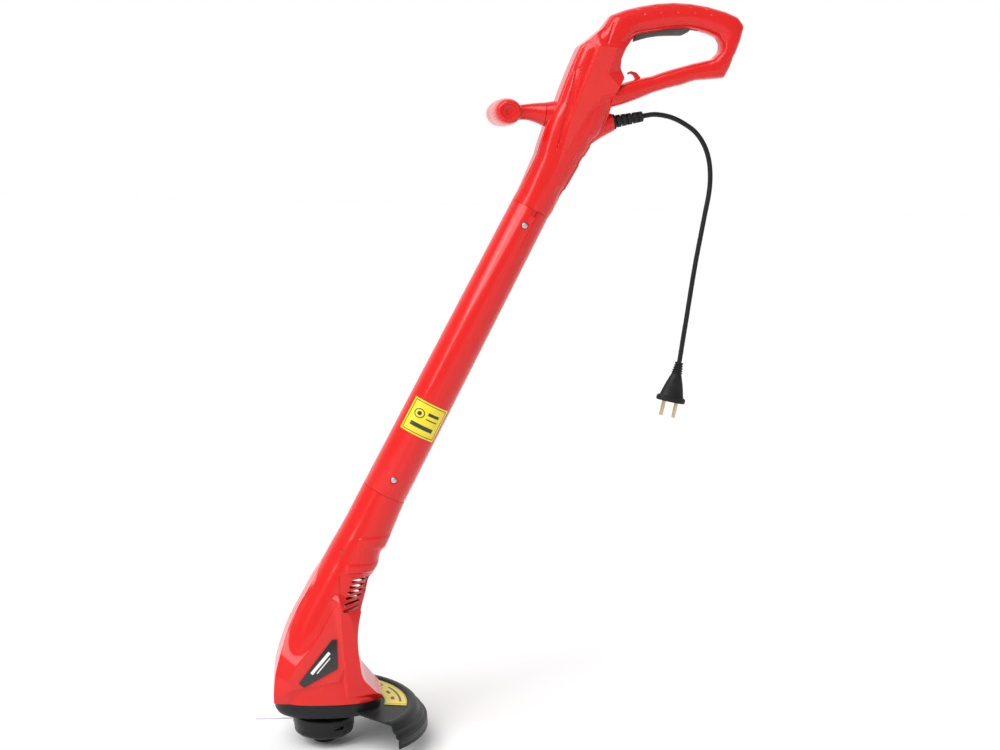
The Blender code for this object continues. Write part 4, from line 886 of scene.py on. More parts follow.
def fair(stations, step):
    """Reads a smooth run of sections through the given ones, about step apart."""
    rows = np.array([[*front, *rear, half, square] for front, rear, half, square in stations])
    chord = np.maximum(
        np.linalg.norm(np.diff(rows[:, :2], axis=0), axis=1),
        np.linalg.norm(np.diff(rows[:, 2:4], axis=0), axis=1),
    )
    at = np.concatenate([[0.0], np.cumsum(np.sqrt(chord))])
    slope = np.gradient(rows, at, axis=0)
    made = []
    for index, length in enumerate(chord):
        count = max(int(math.ceil(length / step)), 1)
        span = at[index + 1] - at[index]
        t = np.linspace(0, 1, count, endpoint=False)[:, None]
        made.append(
            (2 * t**3 - 3 * t**2 + 1) * rows[index]
            + (t**3 - 2 * t**2 + t) * span * slope[index]
            + (3 * t**2 - 2 * t**3) * rows[index + 1]
            + (t**3 - t**2) * span * slope[index + 1]
        )
    return np.concatenate([*made, rows[-1:]])


def section(row, side, inset, count):
    """Evenly spaced points of a rounded half section, from its front edge to its rear edge."""
    front, rear = np.array(row[:2]), np.array(row[2:4])
    half, square = row[4] - inset, row[5]
    inward = (rear - front) / np.linalg.norm(rear - front) * inset
    front, rear = front + inward, rear - inward
    angle = np.linspace(0, math.pi, 361)
    cosine, sine = np.cos(angle), np.clip(np.sin(angle), 0, None)
    reach = np.sign(cosine) * np.abs(cosine) ** (2 / square)
    depth = half * sine ** (2 / square)
    radius = np.linalg.norm(front - rear) / 2
    arc = np.concatenate([[0], np.cumsum(np.hypot(np.diff(reach) * radius, np.diff(depth)))])
    at = np.linspace(0, arc[-1], count)
    reach, depth = np.interp(at, arc, reach), np.maximum(np.interp(at, arc, depth), GAP / 2)
    flat = (front + rear) / 2 + (front - rear) / 2 * reach[:, None]
    return np.stack([flat[:, 0], side * depth, flat[:, 1]], axis=-1)


def outward(points, side):
    """Unit normals of a grid of section points."""
    down = np.gradient(points, axis=0)
    round_ = np.gradient(points, axis=1)
    normal = np.cross(down, round_) * side
    length = np.linalg.norm(normal, axis=-1, keepdims=True)
    normal = normal / np.maximum(length, 1e-12)
    middle = points.mean(axis=1, keepdims=True)
    facing = np.sign(np.sum(normal * (points - middle), axis=-1, keepdims=True))
    return normal * np.where(facing == 0, 1, facing)


def reach_inside(x, z, outline):
    """Distance to an outline's edge, above zero inside it and below zero outside."""
    corners = np.array(outline)
    ends = np.roll(corners, -1, axis=0)
    best = np.full(x.shape, 1e9)
    inside = np.zeros(x.shape, bool)
    for (ax, az), (bx, bz) in zip(corners, ends):
        dx, dz = bx - ax, bz - az
        share = np.clip(((x - ax) * dx + (z - az) * dz) / (dx * dx + dz * dz), 0, 1)
        best = np.minimum(best, np.hypot(x - ax - share * dx, z - az - share * dz))
        if dz:
            cross = (az > z) != (bz > z)
            inside ^= cross & (x < ax + (z - az) * dx / dz)
    return np.where(inside, best, -best)


def smooth_share(value, low, high):
    t = np.clip((value - low) / (high - low), 0, 1)
    return t * t * (3 - 2 * t)


def raise_face(points, side, outline, plane, slope, blend=0.0007):
    """Lifts a region out to a plane, with a slope round it and soft edges."""
    x, z = points[..., 0], points[..., 2]
    out = points[..., 1] * side
    face = plane(x, z) + np.minimum(reach_inside(x, z, outline), 0) * slope
    lifted = (out + face + np.sqrt((out - face) ** 2 + blend**2) - blend) / 2
    points[..., 1] = side * np.where(out > 0.004, np.maximum(lifted, out), out)


def sink(points, normals, outline, depth, edge):
    """Presses a region in along the surface, with a soft edge."""
    share = smooth_share(reach_inside(points[..., 0], points[..., 2], outline), -edge, edge)
    points -= normals * (share * depth)[..., None]


def half_shell(name, rows, side, shape=None, around=110):
    """One half of a hollow moulding, split on the middle plane."""
    outer = np.array([section(row, side, 0.0, around) for row in rows])
    if shape:
        shape(outer, outward(outer, side), side)
    inner = np.array([section(row, side, SHELL_WALL, 22) for row in rows])[:, ::-1]
    return skin(name, np.concatenate([outer, inner], axis=1))


def solid_half(name, stations, side, around=60):
    rows = straight(stations, 0.001, 0.002)
    return skin(name, [section(row, side, 0.0, around) for row in rows])


def mark_matt(item, outlines, side, least):
    """Gives the faces inside the outlines the second finish."""
    mesh = item.data
    count = len(mesh.polygons)
    middles = np.empty(count * 3)
    facing = np.empty(count * 3)
    mesh.polygons.foreach_get("center", middles)
    mesh.polygons.foreach_get("normal", facing)
    middles, facing = middles.reshape(-1, 3), facing.reshape(-1, 3)
    chosen = np.zeros(count, bool)
    for outline in outlines:
        chosen |= reach_inside(middles[:, 0], middles[:, 2], outline) > 0.0002
    chosen &= (middles[:, 1] * side > least) & (facing[:, 1] * side > 0.6)
    mesh.polygons.foreach_set("material_index", chosen.astype(np.int32))
    mesh.update()


# ---------------------------------------------------------------- places on the tube and handle


def tube_radius(distance):
    return TUBE_LOW_RADIUS + (TUBE_TOP_RADIUS - TUBE_LOW_RADIUS) * distance / TUBE_LENGTH


def tube_point(distance):
    return TUBE_FOOT + TUBE_AXIS * distance


def tube_station(distance):
    middle, radius = tube_point(distance), tube_radius(distance)
    front, rear = middle - TUBE_BACK * radius, middle + TUBE_BACK * radius
    return ((front[0], front[2]), (rear[0], rear[2]), radius, 2.0)


def tube_frame(distance):
    """Local X points back, local Y to the right and local Z up the tube."""
    turn = Matrix((TUBE_BACK, (0, 1, 0), TUBE_AXIS)).transposed().to_4x4()
    return Matrix.Translation(Vector(tube_point(distance))) @ turn


def from_top(place):
    return (TUBE_TOP[0] + place[0], TUBE_TOP[2] + place[1])


def at_top(stations):
    return [(from_top(front), from_top(rear), half, square) for front, rear, half, square in stations]


def cheek_plane(x, z):
    """The cheek's flat face leans in towards the top."""
    return CHEEK_REACH - CHEEK_LEAN * (z - 0.060) + 0.0 * x


# ---------------------------------------------------------------- motor head


def shape_head(points, normals, side):
    """Cheek facets, the vents' sunken field and the neck's ridges."""
    height = sizes().ridge_height
    raise_face(points, side, CHEEK, cheek_plane, 0.55)
    raise_face(points, side, FLANK, lambda x, z: 0.0440 - 0.05 * (z - 0.10) - 0.24 * (x - 0.02), 0.8)
    for outline in NECK_RIDGES:
        sink(points, normals, outline, -height, 0.0012)
    sink(points, normals, VENT_FIELD, 0.0011, 0.0010)


def vent_slots():
    slots = []
    for index in range(VENT_COUNT):
        rear = Vector((0.0400 + 0.0022 * index, 0.0, 0.1770 + VENT_PITCH * index))
        middle = rear + Vector((-0.0105, 0, -0.0008))
        slot = box_between((-0.0105, -0.06, -0.0017), (0.0105, 0.06, 0.0017), 0.0014)
        slot.data.transform(Matrix.Translation(middle) @ Matrix.Rotation(math.radians(-7), 4, "Y"))
        slots.append(slot)
    return join(slots)


def screw_well(x, z, reach):
    return bar_between((x, 0.0080, z), (x, reach, z), 0.0036)


def screw_post(x, z, side, reach):
    """The post inside a shell that a side screw passes through or bites into."""
    post = bar_between((x, side * GAP / 2, z), (x, side * reach, z), 0.0052)
    depth = 0.0100 if side < 0 else 0.02
    bore = bar_between((x, -side * 0.001, z), (x, side * depth, z), 0.0019)
    return combine(post, bore, "DIFFERENCE")


def sleeve(side, start, end):
    """The half sleeve of a shell that plugs into the tube."""
    rows = []
    for index in range(5):
        front, rear, radius, square = tube_station(start + (end - start) * index / 4)
        rows.append((front, rear, radius, square))
    rows = np.array([[*front, *rear, half, square] for front, rear, half, square in rows])
    inset = TUBE_WALL + GAP
    outer = np.array([section(row, side, inset, 48) for row in rows])
    inner = np.array([section(row, side, inset + 0.0024, 24) for row in rows])[:, ::-1]
    return skin("sleeve", np.concatenate([outer, inner], axis=1))


def head_shell(word, side):
    rows = fair([*HEAD_STATIONS, tube_station(-GAP)], sizes().skin_step)
    shell = half_shell(f"head_{word}", rows, side, shape_head, 130)
    combine(shell, sleeve(side, -0.008, 0.034), "UNION")
    for _, x, z in HEAD_SCREWS:
        combine(shell, screw_post(x, z, side, 0.027), "UNION")
    cutters = [vent_slots()]
    if side > 0:
        cutters += [screw_well(x, z, 0.07) for _, x, z in HEAD_SCREWS]
    else:
        spot = tube_point(TUBE_SCREWS[0])
        radius = tube_radius(TUBE_SCREWS[0])
        cutters.append(
            bar_between((spot[0], -radius + 0.010, spot[2]), (spot[0], -radius - 0.004, spot[2]), 0.0019)
        )
    combine(shell, join(cutters), "DIFFERENCE")
    settle(shell, f"motor_cover_{word}", ["gloss_red", "matt_red"])
    mark_matt(shell, [CHEEK], side, 0.030)
    return shell


def badge(word, side):
    item = plate(BADGE, GAP, GAP + 0.0010, 0.0003)
    points = [vertex.co for vertex in item.data.vertices]
    for point in points:
        point.y = side * (cheek_plane(point.x, point.z) + point.y)
    tidy_mesh(item)
    return settle(item, f"name_plate_{word}", ["badge_plate"])


# ---------------------------------------------------------------- screws


def cross_screw(name, place, head_radius, head_height, shank, reach):
    """A pan head screw with a cross recess; its seat is at height zero of place."""
    profile = [
        (0, -reach),
        (shank * 0.5, -reach),
        (shank, -reach + 0.002),
        (shank, 0),
        (head_radius * 0.94, 0),
        (head_radius, head_height * 0.22),
        (head_radius * 0.97, head_height * 0.55),
        (head_radius * 0.80, head_height * 0.86),
        (head_radius * 0.45, head_height),
        (0, head_height),
    ]
    item = lathe(profile, 40)
    arm, thick, deep = head_radius * 0.55, head_radius * 0.13, head_height * 0.5
    low, high = head_height - deep, head_height + 0.001
    for wide, tall in ((arm, thick), (thick, arm)):
        combine(item, box_between((-wide, -tall, low), (wide, tall, high)), "DIFFERENCE")
    item.data.transform(place)
    return settle(item, name, ["screw_steel"])


def side_screw(name, x, z):
    return cross_screw(name, along((x, 0.0083, z), (0, 1, 0)), 0.0033, 0.0025, 0.0016, 0.0177)


# ---------------------------------------------------------------- guard


def ring(front, rear, half, square, count=144):
    """A closed rounded ring between a front and a rear point."""
    row = (*front, *rear, half, square)
    near = section(row, 1, 0.0, count // 2 + 1)
    near[[0, -1], 1] = 0.0
    far = near[1:-1][::-1] * np.array((1, -1, 1))
    return np.concatenate([near, far])


def circle(radius, height, count=144):
    return ring((-radius, height), (radius, height), radius, 2.0, count)


def guard_tray():
    wall = GUARD_WALL
    rings = [
        ring((-0.0569, 0.0425), (0.0656, 0.0435), 0.0422, 2.4),
        ring((-0.0575, 0.0430), (0.0662, 0.0440), 0.0428, 2.4),
        ring((-0.0586, 0.0450), (0.0677, 0.0460), 0.0433, 2.45),
        ring((-0.0600, 0.0470), (0.0692, 0.0480), 0.0438, 2.5),
        ring((-0.0605, 0.0500), (0.0697, 0.0508), 0.0440, 2.55),
        ring((-0.0611, 0.0592), (0.0703, 0.0596), 0.0444, 2.6),
        ring((-0.0608, TRAY_TOP), (0.0700, TRAY_TOP + 0.0004), 0.0441, 2.6),
        ring((-0.0612 + wall, TRAY_TOP), (0.0704 - wall, TRAY_TOP + 0.0004), 0.0444 - wall, 2.6),
        ring((-0.0602 + wall, 0.0497), (0.0694 - wall, 0.0500), 0.0438 - wall, 2.5),
        circle(HUB_HOLE_RADIUS, 0.0495),
        circle(HUB_HOLE_RADIUS, 0.0465),
        ring((-0.0552, 0.0466), (0.0655, 0.0472), 0.0406, 2.5),
        ring((-0.0575 + wall, 0.0425), (0.0662 - wall, 0.0435), 0.0428 - wall, 2.4),
    ]
    return skin("tray", rings, closed=True)


def guard_outline():
    """The deck's cross section as (radius, height): recess, raised rim, two ribs and the skirt."""
    edge, wall = GUARD_RADIUS, GUARD_WALL
    rim = edge - 0.0120
    return [
        (0.0440, DECK_TOP),
        (0.0715, DECK_TOP),
        (0.0722, DECK_TOP - 0.0006),
        (rim - 0.0130, DECK_TOP - 0.0006),
        (rim - 0.0115, DECK_TOP + 0.0006),
        (rim - 0.0100, DECK_TOP + 0.0016),
        (rim - 0.0075, DECK_TOP + 0.0018),
        (rim - 0.0035, DECK_TOP + 0.0012),
        (rim - 0.0010, DECK_TOP - 0.0008),
        (rim + 0.0004, DECK_TOP - 0.0040),
        (rim + 0.0022, 0.0412),
        (rim + 0.0050, 0.0406),
        (rim + 0.0062, 0.0398),
        (rim + 0.0072, 0.0352),
        (edge - 0.0018, 0.0346),
        (edge - 0.0008, 0.0336),
        (edge - 0.0002, 0.0270),
        (edge - 0.0006, 0.0262),
        (edge, 0.0250),
        (edge, SKIRT_BOTTOM + 0.0004),
        (edge - 0.0006, SKIRT_BOTTOM),
        (edge - wall, SKIRT_BOTTOM),
        (edge - 0.0008 - wall, 0.0322),
        (rim + 0.0072 - wall, 0.0334),
        (rim + 0.0060 - wall, 0.0378),
        (rim + 0.0022 - wall, 0.0390),
        (rim + 0.0002 - wall, DECK_TOP - wall - 0.0020),
        (rim - 0.0036, DECK_TOP - wall),
        (0.0440, DECK_TOP - wall),
    ]


def guard():
    outline = np.array(guard_outline())
    loops = []
    for angle in np.linspace(GUARD_NEAR_ANGLE, GUARD_FAR_ANGLE, 121):
        across = outline[:, 0]
        loops.append(np.stack([across * math.cos(angle), across * math.sin(angle), outline[:, 1]], -1))
    deck = skin("deck", loops)
    item = combine(guard_tray(), deck, "UNION")
    soften(item, 0.0004, 2, 40)
    return settle(item, "guard_moulding", ["base_black"])


def sector_label():
    """A thin yellow sheet in the deck's recess, laid out with its own flat coordinates."""
    near, far = 0.0745, GUARD_RADIUS - 0.0262
    start, end = math.radians(-12), math.radians(48)
    low = DECK_TOP - 0.0003
    return curved_sheet(
        "guard_sticker",
        lambda u, v, out: (
            (near + (far - near) * v) * math.cos(end + (start - end) * u),
            (near + (far - near) * v) * math.sin(end + (start - end) * u),
            low + 0.0004 * out,
        ),
        "sector_label",
        48,
        8,
    )


def curved_sheet(name, place, finish, across, up):
    """A sheet with a small thickness whose top and bottom are placed by a function."""
    deselect()
    bpy.ops.mesh.primitive_grid_add(x_subdivisions=across, y_subdivisions=up, size=1.0)
    item = bpy.context.object
    mesh = item.data
    flat = mesh.uv_layers.new(name="label") if not mesh.uv_layers else mesh.uv_layers[0]
    flat.name = "label"
    for loop in mesh.loops:
        x, y, _ = mesh.vertices[loop.vertex_index].co
        flat.data[loop.index].uv = (x + 0.5, y + 0.5)
    for vertex in mesh.vertices:
        x, y, _ = vertex.co
        vertex.co = place(x + 0.5, y + 0.5, 1.0)
    use_modifier(item, "SOLIDIFY", thickness=0.00025, offset=-1.0)
    return settle(item, name, [finish])


def line_blade():
    """The small blade that trims the line, with a ground bevel."""
    angle = GUARD_FAR_ANGLE - math.radians(2.0)
    outer = GUARD_RADIUS - 0.0120 - GUARD_WALL - 0.0006
    thick = 0.0011
    outline = [(outer - 0.0095, 0.0325), (outer, 0.0335), (outer, 0.0450), (outer - 0.0095, 0.0450)]
    item = plate(outline, 0.0, thick)
    for vertex in item.data.vertices:
        if vertex.co.x < outer - 0.009:
            vertex.co.y = thick * (0.5 + (vertex.co.y / thick - 0.5) * 0.15)
    item.data.transform(Matrix.Rotation(angle, 4, "Z"))
    return settle(item, "line_blade", ["blade_steel"])


# ---------------------------------------------------------------- cutting head


def reel_housing():
    radius, wall = SPOOL_RADIUS, HOUSING_WALL
    profile = [
        (0.0040, HOUSING_TOP - wall),
        (0.0040, HOUSING_TOP),
        (radius - 0.0060, HOUSING_TOP),
        (radius - 0.0020, HOUSING_TOP - 0.0004),
        (radius - 0.0004, HOUSING_TOP - 0.0018),
        (radius, HOUSING_TOP - 0.0034),
        (radius, HOUSING_SPLIT),
        (radius - wall, HOUSING_SPLIT),
        (radius - wall, HOUSING_TOP - wall),
    ]
    item = lathe(profile, 128)
    cutters = [bar_between((-radius + 0.008, 0, LINE_HEIGHT), (-radius - 0.01, 0, LINE_HEIGHT), 0.0032)]
    for degrees in (-62, 118):
        window = box_between((radius - 0.006, -0.0065, 0.0242), (radius + 0.004, 0.0065, 0.0285), 0.0006)
        window.data.transform(Matrix.Rotation(math.radians(degrees), 4, "Z"))
        cutters.append(window)
    combine(item, join(cutters), "DIFFERENCE")
    soften(item, 0.0003, 2, 40)
    return settle(item, "reel_housing", ["satin_black"])


def reel_cover():
    """The lower cup, with ribs to grip and a hole for the tap button."""
    radius, wall = SPOOL_RADIUS - 0.0008, HOUSING_WALL
    top = HOUSING_SPLIT - GAP
    profile = [
        (COVER_HOLE_RADIUS, COVER_FLOOR),
        (COVER_HOLE_RADIUS + 0.0008, COVER_FLOOR - 0.0003),
        (radius - 0.0090, COVER_FLOOR),
        (radius - 0.0060, COVER_FLOOR + 0.0002),
        (radius - 0.0030, COVER_FLOOR + 0.0012),
        (radius - 0.0010, COVER_FLOOR + 0.0030),
        (radius, COVER_FLOOR + 0.0054),
        (radius, top),
        (radius - wall, top),
        (radius - wall, COVER_FLOOR + wall + 0.0030),
        (radius - wall - 0.0030, COVER_FLOOR + wall),
        (COVER_HOLE_RADIUS, COVER_FLOOR + wall),
    ]
    item = lathe(profile, 128)
    cutters = []
    for degrees in range(0, 360, 30):
        window = bar_between((radius + 0.0012, 0, 0.005), (radius + 0.0012, 0, 0.0200), 0.0021, 16)
        window.data.transform(Matrix.Rotation(math.radians(degrees + 13), 4, "Z"))
        cutters.append(window)
    combine(item, join(cutters), "DIFFERENCE")
    return settle(item, "reel_cover", ["satin_black"])


def bump_button():
    radius = BUTTON_RADIUS
    shoulder = COVER_FLOOR + HOUSING_WALL + GAP
    top = HOUSING_TOP - HOUSING_WALL - 0.0040 - 0.0011 - 0.0002
    profile = [
        (0, 0),
        (radius * 0.30, 0),
        (radius * 0.50, 0.0002),
        (radius * 0.68, 0.0007),
        (radius * 0.82, 0.0015),
        (radius * 0.93, 0.0028),
        (radius * 0.99, 0.0045),
        (radius, 0.0062),
        (radius, shoulder),
        (radius + 0.0050, shoulder),
        (radius + 0.0050, shoulder + 0.0042),
        (0.0080, shoulder + 0.0042),
        (0.0080, top),
        (0, top),
    ]
    return settle(lathe(profile, 96), "bump_button", ["satin_black"])


def line_tail():
    """The free end of the line, drawn out level from its eyelet."""
    start = SPOOL_RADIUS - HOUSING_WALL - 0.0020
    item = bar_between((-start, 0, LINE_HEIGHT), (-LINE_REACH, 0, LINE_HEIGHT), 0.0006, 20)
    return settle(item, "line_tail", ["line_nylon"])


def eyelet():
    profile = [
        (0.0012, -0.0030),
        (0.0028, -0.0030),
        (0.0028, GAP),
        (0.0043, GAP),
        (0.0044, 0.0007),
        (0.0042, 0.0012),
        (0.0034, 0.0016),
        (0.0024, 0.0018),
        (0.0015, 0.0015),
        (0.0012, 0.0008),
    ]
    item = lathe(profile, 40, along((-SPOOL_RADIUS, 0, LINE_HEIGHT), (-1, 0, 0)))
    return settle(item, "line_bush", ["screw_steel"])


# ---------------------------------------------------------------- tube


def shaft():
    """The tapered tube, hollow, with two screw holes and a small notch at its top."""
    deselect()
    bpy.ops.mesh.primitive_cone_add(
        vertices=128,
        radius1=TUBE_LOW_RADIUS,
        radius2=TUBE_TOP_RADIUS,
        depth=TUBE_LENGTH,
        end_fill_type="NOTHING",
        location=(0, 0, TUBE_LENGTH / 2),
    )
    item = bpy.context.object
    bpy.ops.object.transform_apply(location=True, rotation=True, scale=True)
    use_modifier(item, "SOLIDIFY", thickness=TUBE_WALL, offset=-1.0)
    soften(item, 0.0004, 2)
    item.data.transform(tube_frame(0))
    cutters = []
    for distance in TUBE_SCREWS:
        x, _, z = tube_point(distance)
        cutters.append(bar_between((x, -0.012, z), (x, -0.050, z), 0.0043, 48))
    notch = box_between((0.0005, -0.04, -0.0075), (0.0065, -0.010, 0.004), 0.0006)
    notch.data.transform(tube_frame(TUBE_LENGTH))
    combine(item, join([*cutters, notch]), "DIFFERENCE")
    return settle(item, "shaft_barrel", ["gloss_red"])


def wrapped_label():
    def place(u, v, _):
        distance = LABEL_MIDDLE + (v - 0.5) * LABEL_LENGTH
        angle = -math.pi / 2 + LABEL_HALF_ANGLE * (2 * u - 1)
        radius = tube_radius(distance) + GAP + 0.0002
        local = Vector((radius * math.cos(angle), radius * math.sin(angle), 0))
        return tube_frame(distance) @ local

    return curved_sheet("tube_sticker", place, "tube_label", 40, 6)


def tube_screw(word, distance):
    seat = tube_radius(distance) - TUBE_WALL + GAP
    x, _, z = tube_point(distance)
    place = along((x, -seat, z), (0, -1, 0))
    return cross_screw(f"barrel_screw_{word}", place, 0.0036, 0.0017, 0.0016, 0.0100)


# ---------------------------------------------------------------- handle


def shape_grip(points, normals, side):
    """The raised side panel, the flute, the groove, the dimples and the rear steps."""
    made = sizes()
    panel = [from_top(place) for place in SIDE_PANEL]
    raise_face(points, side, panel, lambda x, z: 0.0256 + 0.0 * x, 0.50, 0.0005)
    sink(points, normals, [from_top(place) for place in FLUTE], made.flute_depth, 0.0008)
    sink(points, normals, [from_top(place) for place in TOP_GROOVE], 0.0009, 0.0006)
    x, out, z = points[..., 0], points[..., 1] * side, points[..., 2]
    for place in DIMPLES:
        across, up = from_top(place)
        reach = np.hypot(x - across, z - up) / made.dimple_radius
        dent = np.where(out > 0.004, np.clip(1 - reach**2, 0, 1), 0)
        points -= normals * (dent * made.dimple_depth)[..., None]
    for place in REAR_STEPS:
        across, up = from_top(place)
        ahead = (x - across) * TUBE_AXIS[0] + (z - up) * TUBE_AXIS[2]
        behind = (x - across) * TUBE_BACK[0] + (z - up) * TUBE_BACK[2]
        band = smooth_share(ahead, -0.0120, -0.0108) * (1 - smooth_share(ahead, -0.0006, 0.0006))
        band = band * smooth_share(behind, -0.0100, -0.0085)
        points -= normals * (band * 0.0010)[..., None]


def socket_mouth():
    x, z = from_top(GLAND_START)
    ex, ez = from_top(GLAND_END)
    start = Vector((x, 0, z))
    ahead = (Vector((ex, 0, ez)) - start).normalized()
    down = Vector((ahead.z, 0, -ahead.x)) * SOCKET_RADIUS
    top, foot = start - down, start + down
    return start, ahead, ((top.x, top.z), (foot.x, foot.z), SOCKET_RADIUS, 2.0)


def handle_half(word, side):
    stations = [tube_station(TUBE_LENGTH + GAP)] + at_top(GRIP_STATIONS)
    rows = straight(stations, sizes().skin_step, 0.0016)
    shell = half_shell(f"grip_{word}", rows, side, shape_grip, 110)
    bar = half_shell("bar", straight(at_top(BAR_STATIONS), 0.0015, 0.0016), side, None, 70)
    combine(shell, bar, "UNION")
    combine(shell, solid_half("boss", at_top(FRONT_BOSS), side), "UNION")
    start, ahead, mouth = socket_mouth()
    combine(shell, solid_half("socket", [mouth] + at_top(SOCKET), side), "UNION")
    combine(shell, sleeve(side, TUBE_LENGTH - 0.034, TUBE_LENGTH + 0.008), "UNION")
    for _, x, z in HANDLE_SCREWS:
        combine(shell, screw_post(*from_top((x, z)), side, 0.0145), "UNION")
    if side < 0:
        hook = plate([from_top(place) for place in HOOK], -0.0045, -GAP / 2, 0.0005)
        combine(shell, hook, "UNION")
    cutters = [bar_between(start - ahead * 0.016, start + ahead * 0.02, GLAND_BORE + 2 * GAP, 48)]
    if side > 0:
        cutters += [screw_well(*from_top((x, z)), 0.06) for _, x, z in HANDLE_SCREWS]
    half = TRIGGER_HALF_WIDTH + 0.0003
    low, high = from_top((0.1170, 0.1960)), from_top((0.1975, 0.2245))
    cutters.append(box_between((low[0], -half, low[1]), (high[0], half, high[1])))
    combine(shell, join(cutters), "DIFFERENCE")
    settle(shell, f"handle_half_{word}", ["gloss_red", "matt_red"])
    mark_matt(shell, [[from_top(place) for place in SIDE_PANEL]], side, 0.0235)
    return shell


def trigger_lever():
    pivot = from_top(TRIGGER_PIVOT)
    outline = [from_top(place) for place in TRIGGER_OUTLINE]
    for index in range(13):
        angle = math.radians(-60 + 20 * index)
        outline.append((pivot[0] + 0.0046 * math.cos(angle), pivot[1] + 0.0046 * math.sin(angle)))
    outline += [from_top(place) for place in TRIGGER_BACK]
    item = plate(outline, -TRIGGER_HALF_WIDTH, TRIGGER_HALF_WIDTH, 0.0009)
    hole = bar_between((pivot[0], -0.02, pivot[1]), (pivot[0], 0.02, pivot[1]), 0.0021, 32)
    combine(item, hole, "DIFFERENCE")
    return settle(item, "trigger_lever", ["trigger_grey"])


def front_handle():
    """A short cross bar with a raised rim and a round recess at each end, on a tapered stem."""
    x, z = from_top((-0.0350, 0.1132))
    widths = (
        (0.0452, 0.0088, 0.0074),
        (0.0452, 0.0094, 0.0080),
        (0.0468, 0.0100, 0.0086),
        (0.0470, 0.0108, 0.0094),
        (0.0468, 0.0120, 0.0105),
        (0.0455, 0.0138, 0.0122),
        (0.0425, 0.0151, 0.0137),
        (0.0370, 0.0160, 0.0148),
        (0.0290, 0.0165, 0.0155),
        (0.0200, 0.0168, 0.0160),
        (0.0100, 0.0166, 0.0162),
    )
    run = [(-y, wide, tall) for y, wide, tall in widths] + [(0.0, 0.0165, 0.0162)]
    run += [(y, wide, tall) for y, wide, tall in reversed(widths)]
    angle = np.linspace(0, math.tau, 96, endpoint=False)
    loops = [
        np.stack([x - wide * np.cos(angle), np.full(96, y), z + tall * np.sin(angle)], -1)
        for y, wide, tall in run
    ]
    item = skin("cross_bar", loops)
    (top, foot, half, square) = FRONT_BOSS[0]
    back = 2 * GAP
    rows = [
        ((-0.0250, 0.1220), (-0.0250, 0.1040), 0.0085, 2.2),
        ((-0.0090, 0.1240), (-0.0090, 0.1055), 0.0090, 2.2),
        ((0.0010, 0.1255), (0.0010, 0.1035), 0.0105, 2.2),
        ((top[0] - back, top[1]), (foot[0] - back, foot[1]), half, square),
    ]
    fine = fair(at_top(rows), 0.0010)
    stem = []
    for row in fine:
        near = section(row, 1, 0.0, 37)
        near[[0, -1], 1] = 0.0
        stem.append(np.concatenate([near, near[1:-1][::-1] * np.array((1, -1, 1))]))
    combine(item, skin("stem", stem), "UNION")
    for side in (-1, 1):
        recess = bar_between((x, side * 0.0430, z), (x, side * 0.06, z), 0.0046, 48)
        combine(item, recess, "DIFFERENCE")
    soften(item, 0.0006, 3, 38)
    return settle(item, "front_handle", ["gloss_red"])


# ---------------------------------------------------------------- cord, gland and plug


def smooth_route(points, step):
    """Evenly spaced points of a Catmull-Rom curve through the chosen ones."""
    knots = [Vector(point) for point in points]
    knots = [2 * knots[0] - knots[1]] + knots + [2 * knots[-1] - knots[-2]]
    fine = []
    for a, b, c, d in zip(knots, knots[1:], knots[2:], knots[3:]):
        for index in range(24):
            t = index / 24
            linear, square, cube = (c - a) * t, 2 * a - 5 * b + 4 * c - d, 3 * b - a - 3 * c + d
            fine.append(0.5 * (2 * b + linear + square * t**2 + cube * t**3))
    fine.append(knots[-2])
    lengths = np.concatenate([[0], np.cumsum([(b - a).length for a, b in zip(fine, fine[1:])])])
    count = max(int(round(lengths[-1] / step)), 1)
    at = np.linspace(0, lengths[-1], count + 1)
    places = np.array(fine)
    route = np.stack([np.interp(at, lengths, places[:, axis]) for axis in range(3)], axis=-1)
    return [Vector(point) for point in route]


def cord_piece():
    route = smooth_route(CORD_ROUTE, 0.003)
    curve = bpy.data.curves.new("mains_cord", "CURVE")
    curve.dimensions = "3D"
    curve.bevel_depth = sizes().cord_radius
    curve.bevel_resolution = 8
    curve.use_fill_caps = True
    spline = curve.splines.new("POLY")
    spline.points.add(len(route) - 1)
    for point, place in zip(spline.points, route):
        point.co = (*place, 1.0)
    spline.use_smooth = True
    curve.materials.append(look("cord_rubber"))
    item = bpy.data.objects.new("mains_cord", curve)
    bpy.context.scene.collection.objects.link(item)
    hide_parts("power_cord")
    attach(item, "machine")
    return item


def strain_relief():
    """A rubber sleeve cut into blocks, with small bridges between them."""
    x, z = from_top(GLAND_START)
    ex, ez = from_top(GLAND_END)
    start, end = Vector((x, 0, z)), Vector((ex, 0, ez))
    length = (end - start).length
    profile = [(0, -0.0120), (GLAND_BORE, -0.0120), (GLAND_BORE, GAP), (0.0092, GAP), (0.0092, 0.0030)]
    blocks, first = 5, 0.0040
    pitch = (length - first) / blocks
    for index in range(blocks):
        low = first + pitch * index
        radius = 0.0075 - 0.0003 * index
        profile += [(0.0048, low - 0.0010), (0.0048, low + 0.0010)]
        profile += [(radius, low + 0.0011), (radius, low + pitch - 0.0011)]
    profile += [(0.0048, length - 0.0004), (0.0040, length), (0, length)]
    item = lathe(profile, 48)
    bridges = []
    for index in range(blocks - 1):
        low = first + pitch * (index + 1)
        for turn in (0, 180):
            bridge = box_between((0.0040, -0.0014, low - 0.0016), (0.0064, 0.0014, low + 0.0016))
            angle = math.radians(turn + 90 * (index % 2))
            bridge.data.transform(Matrix.Rotation(angle, 4, "Z"))
            bridges.append(bridge)
    combine(item, join(bridges), "UNION")
    soften(item, 0.0004, 2, 40)
    item.data.transform(along(start, end - start))
    return settle(item, "strain_relief", ["cord_rubber"])


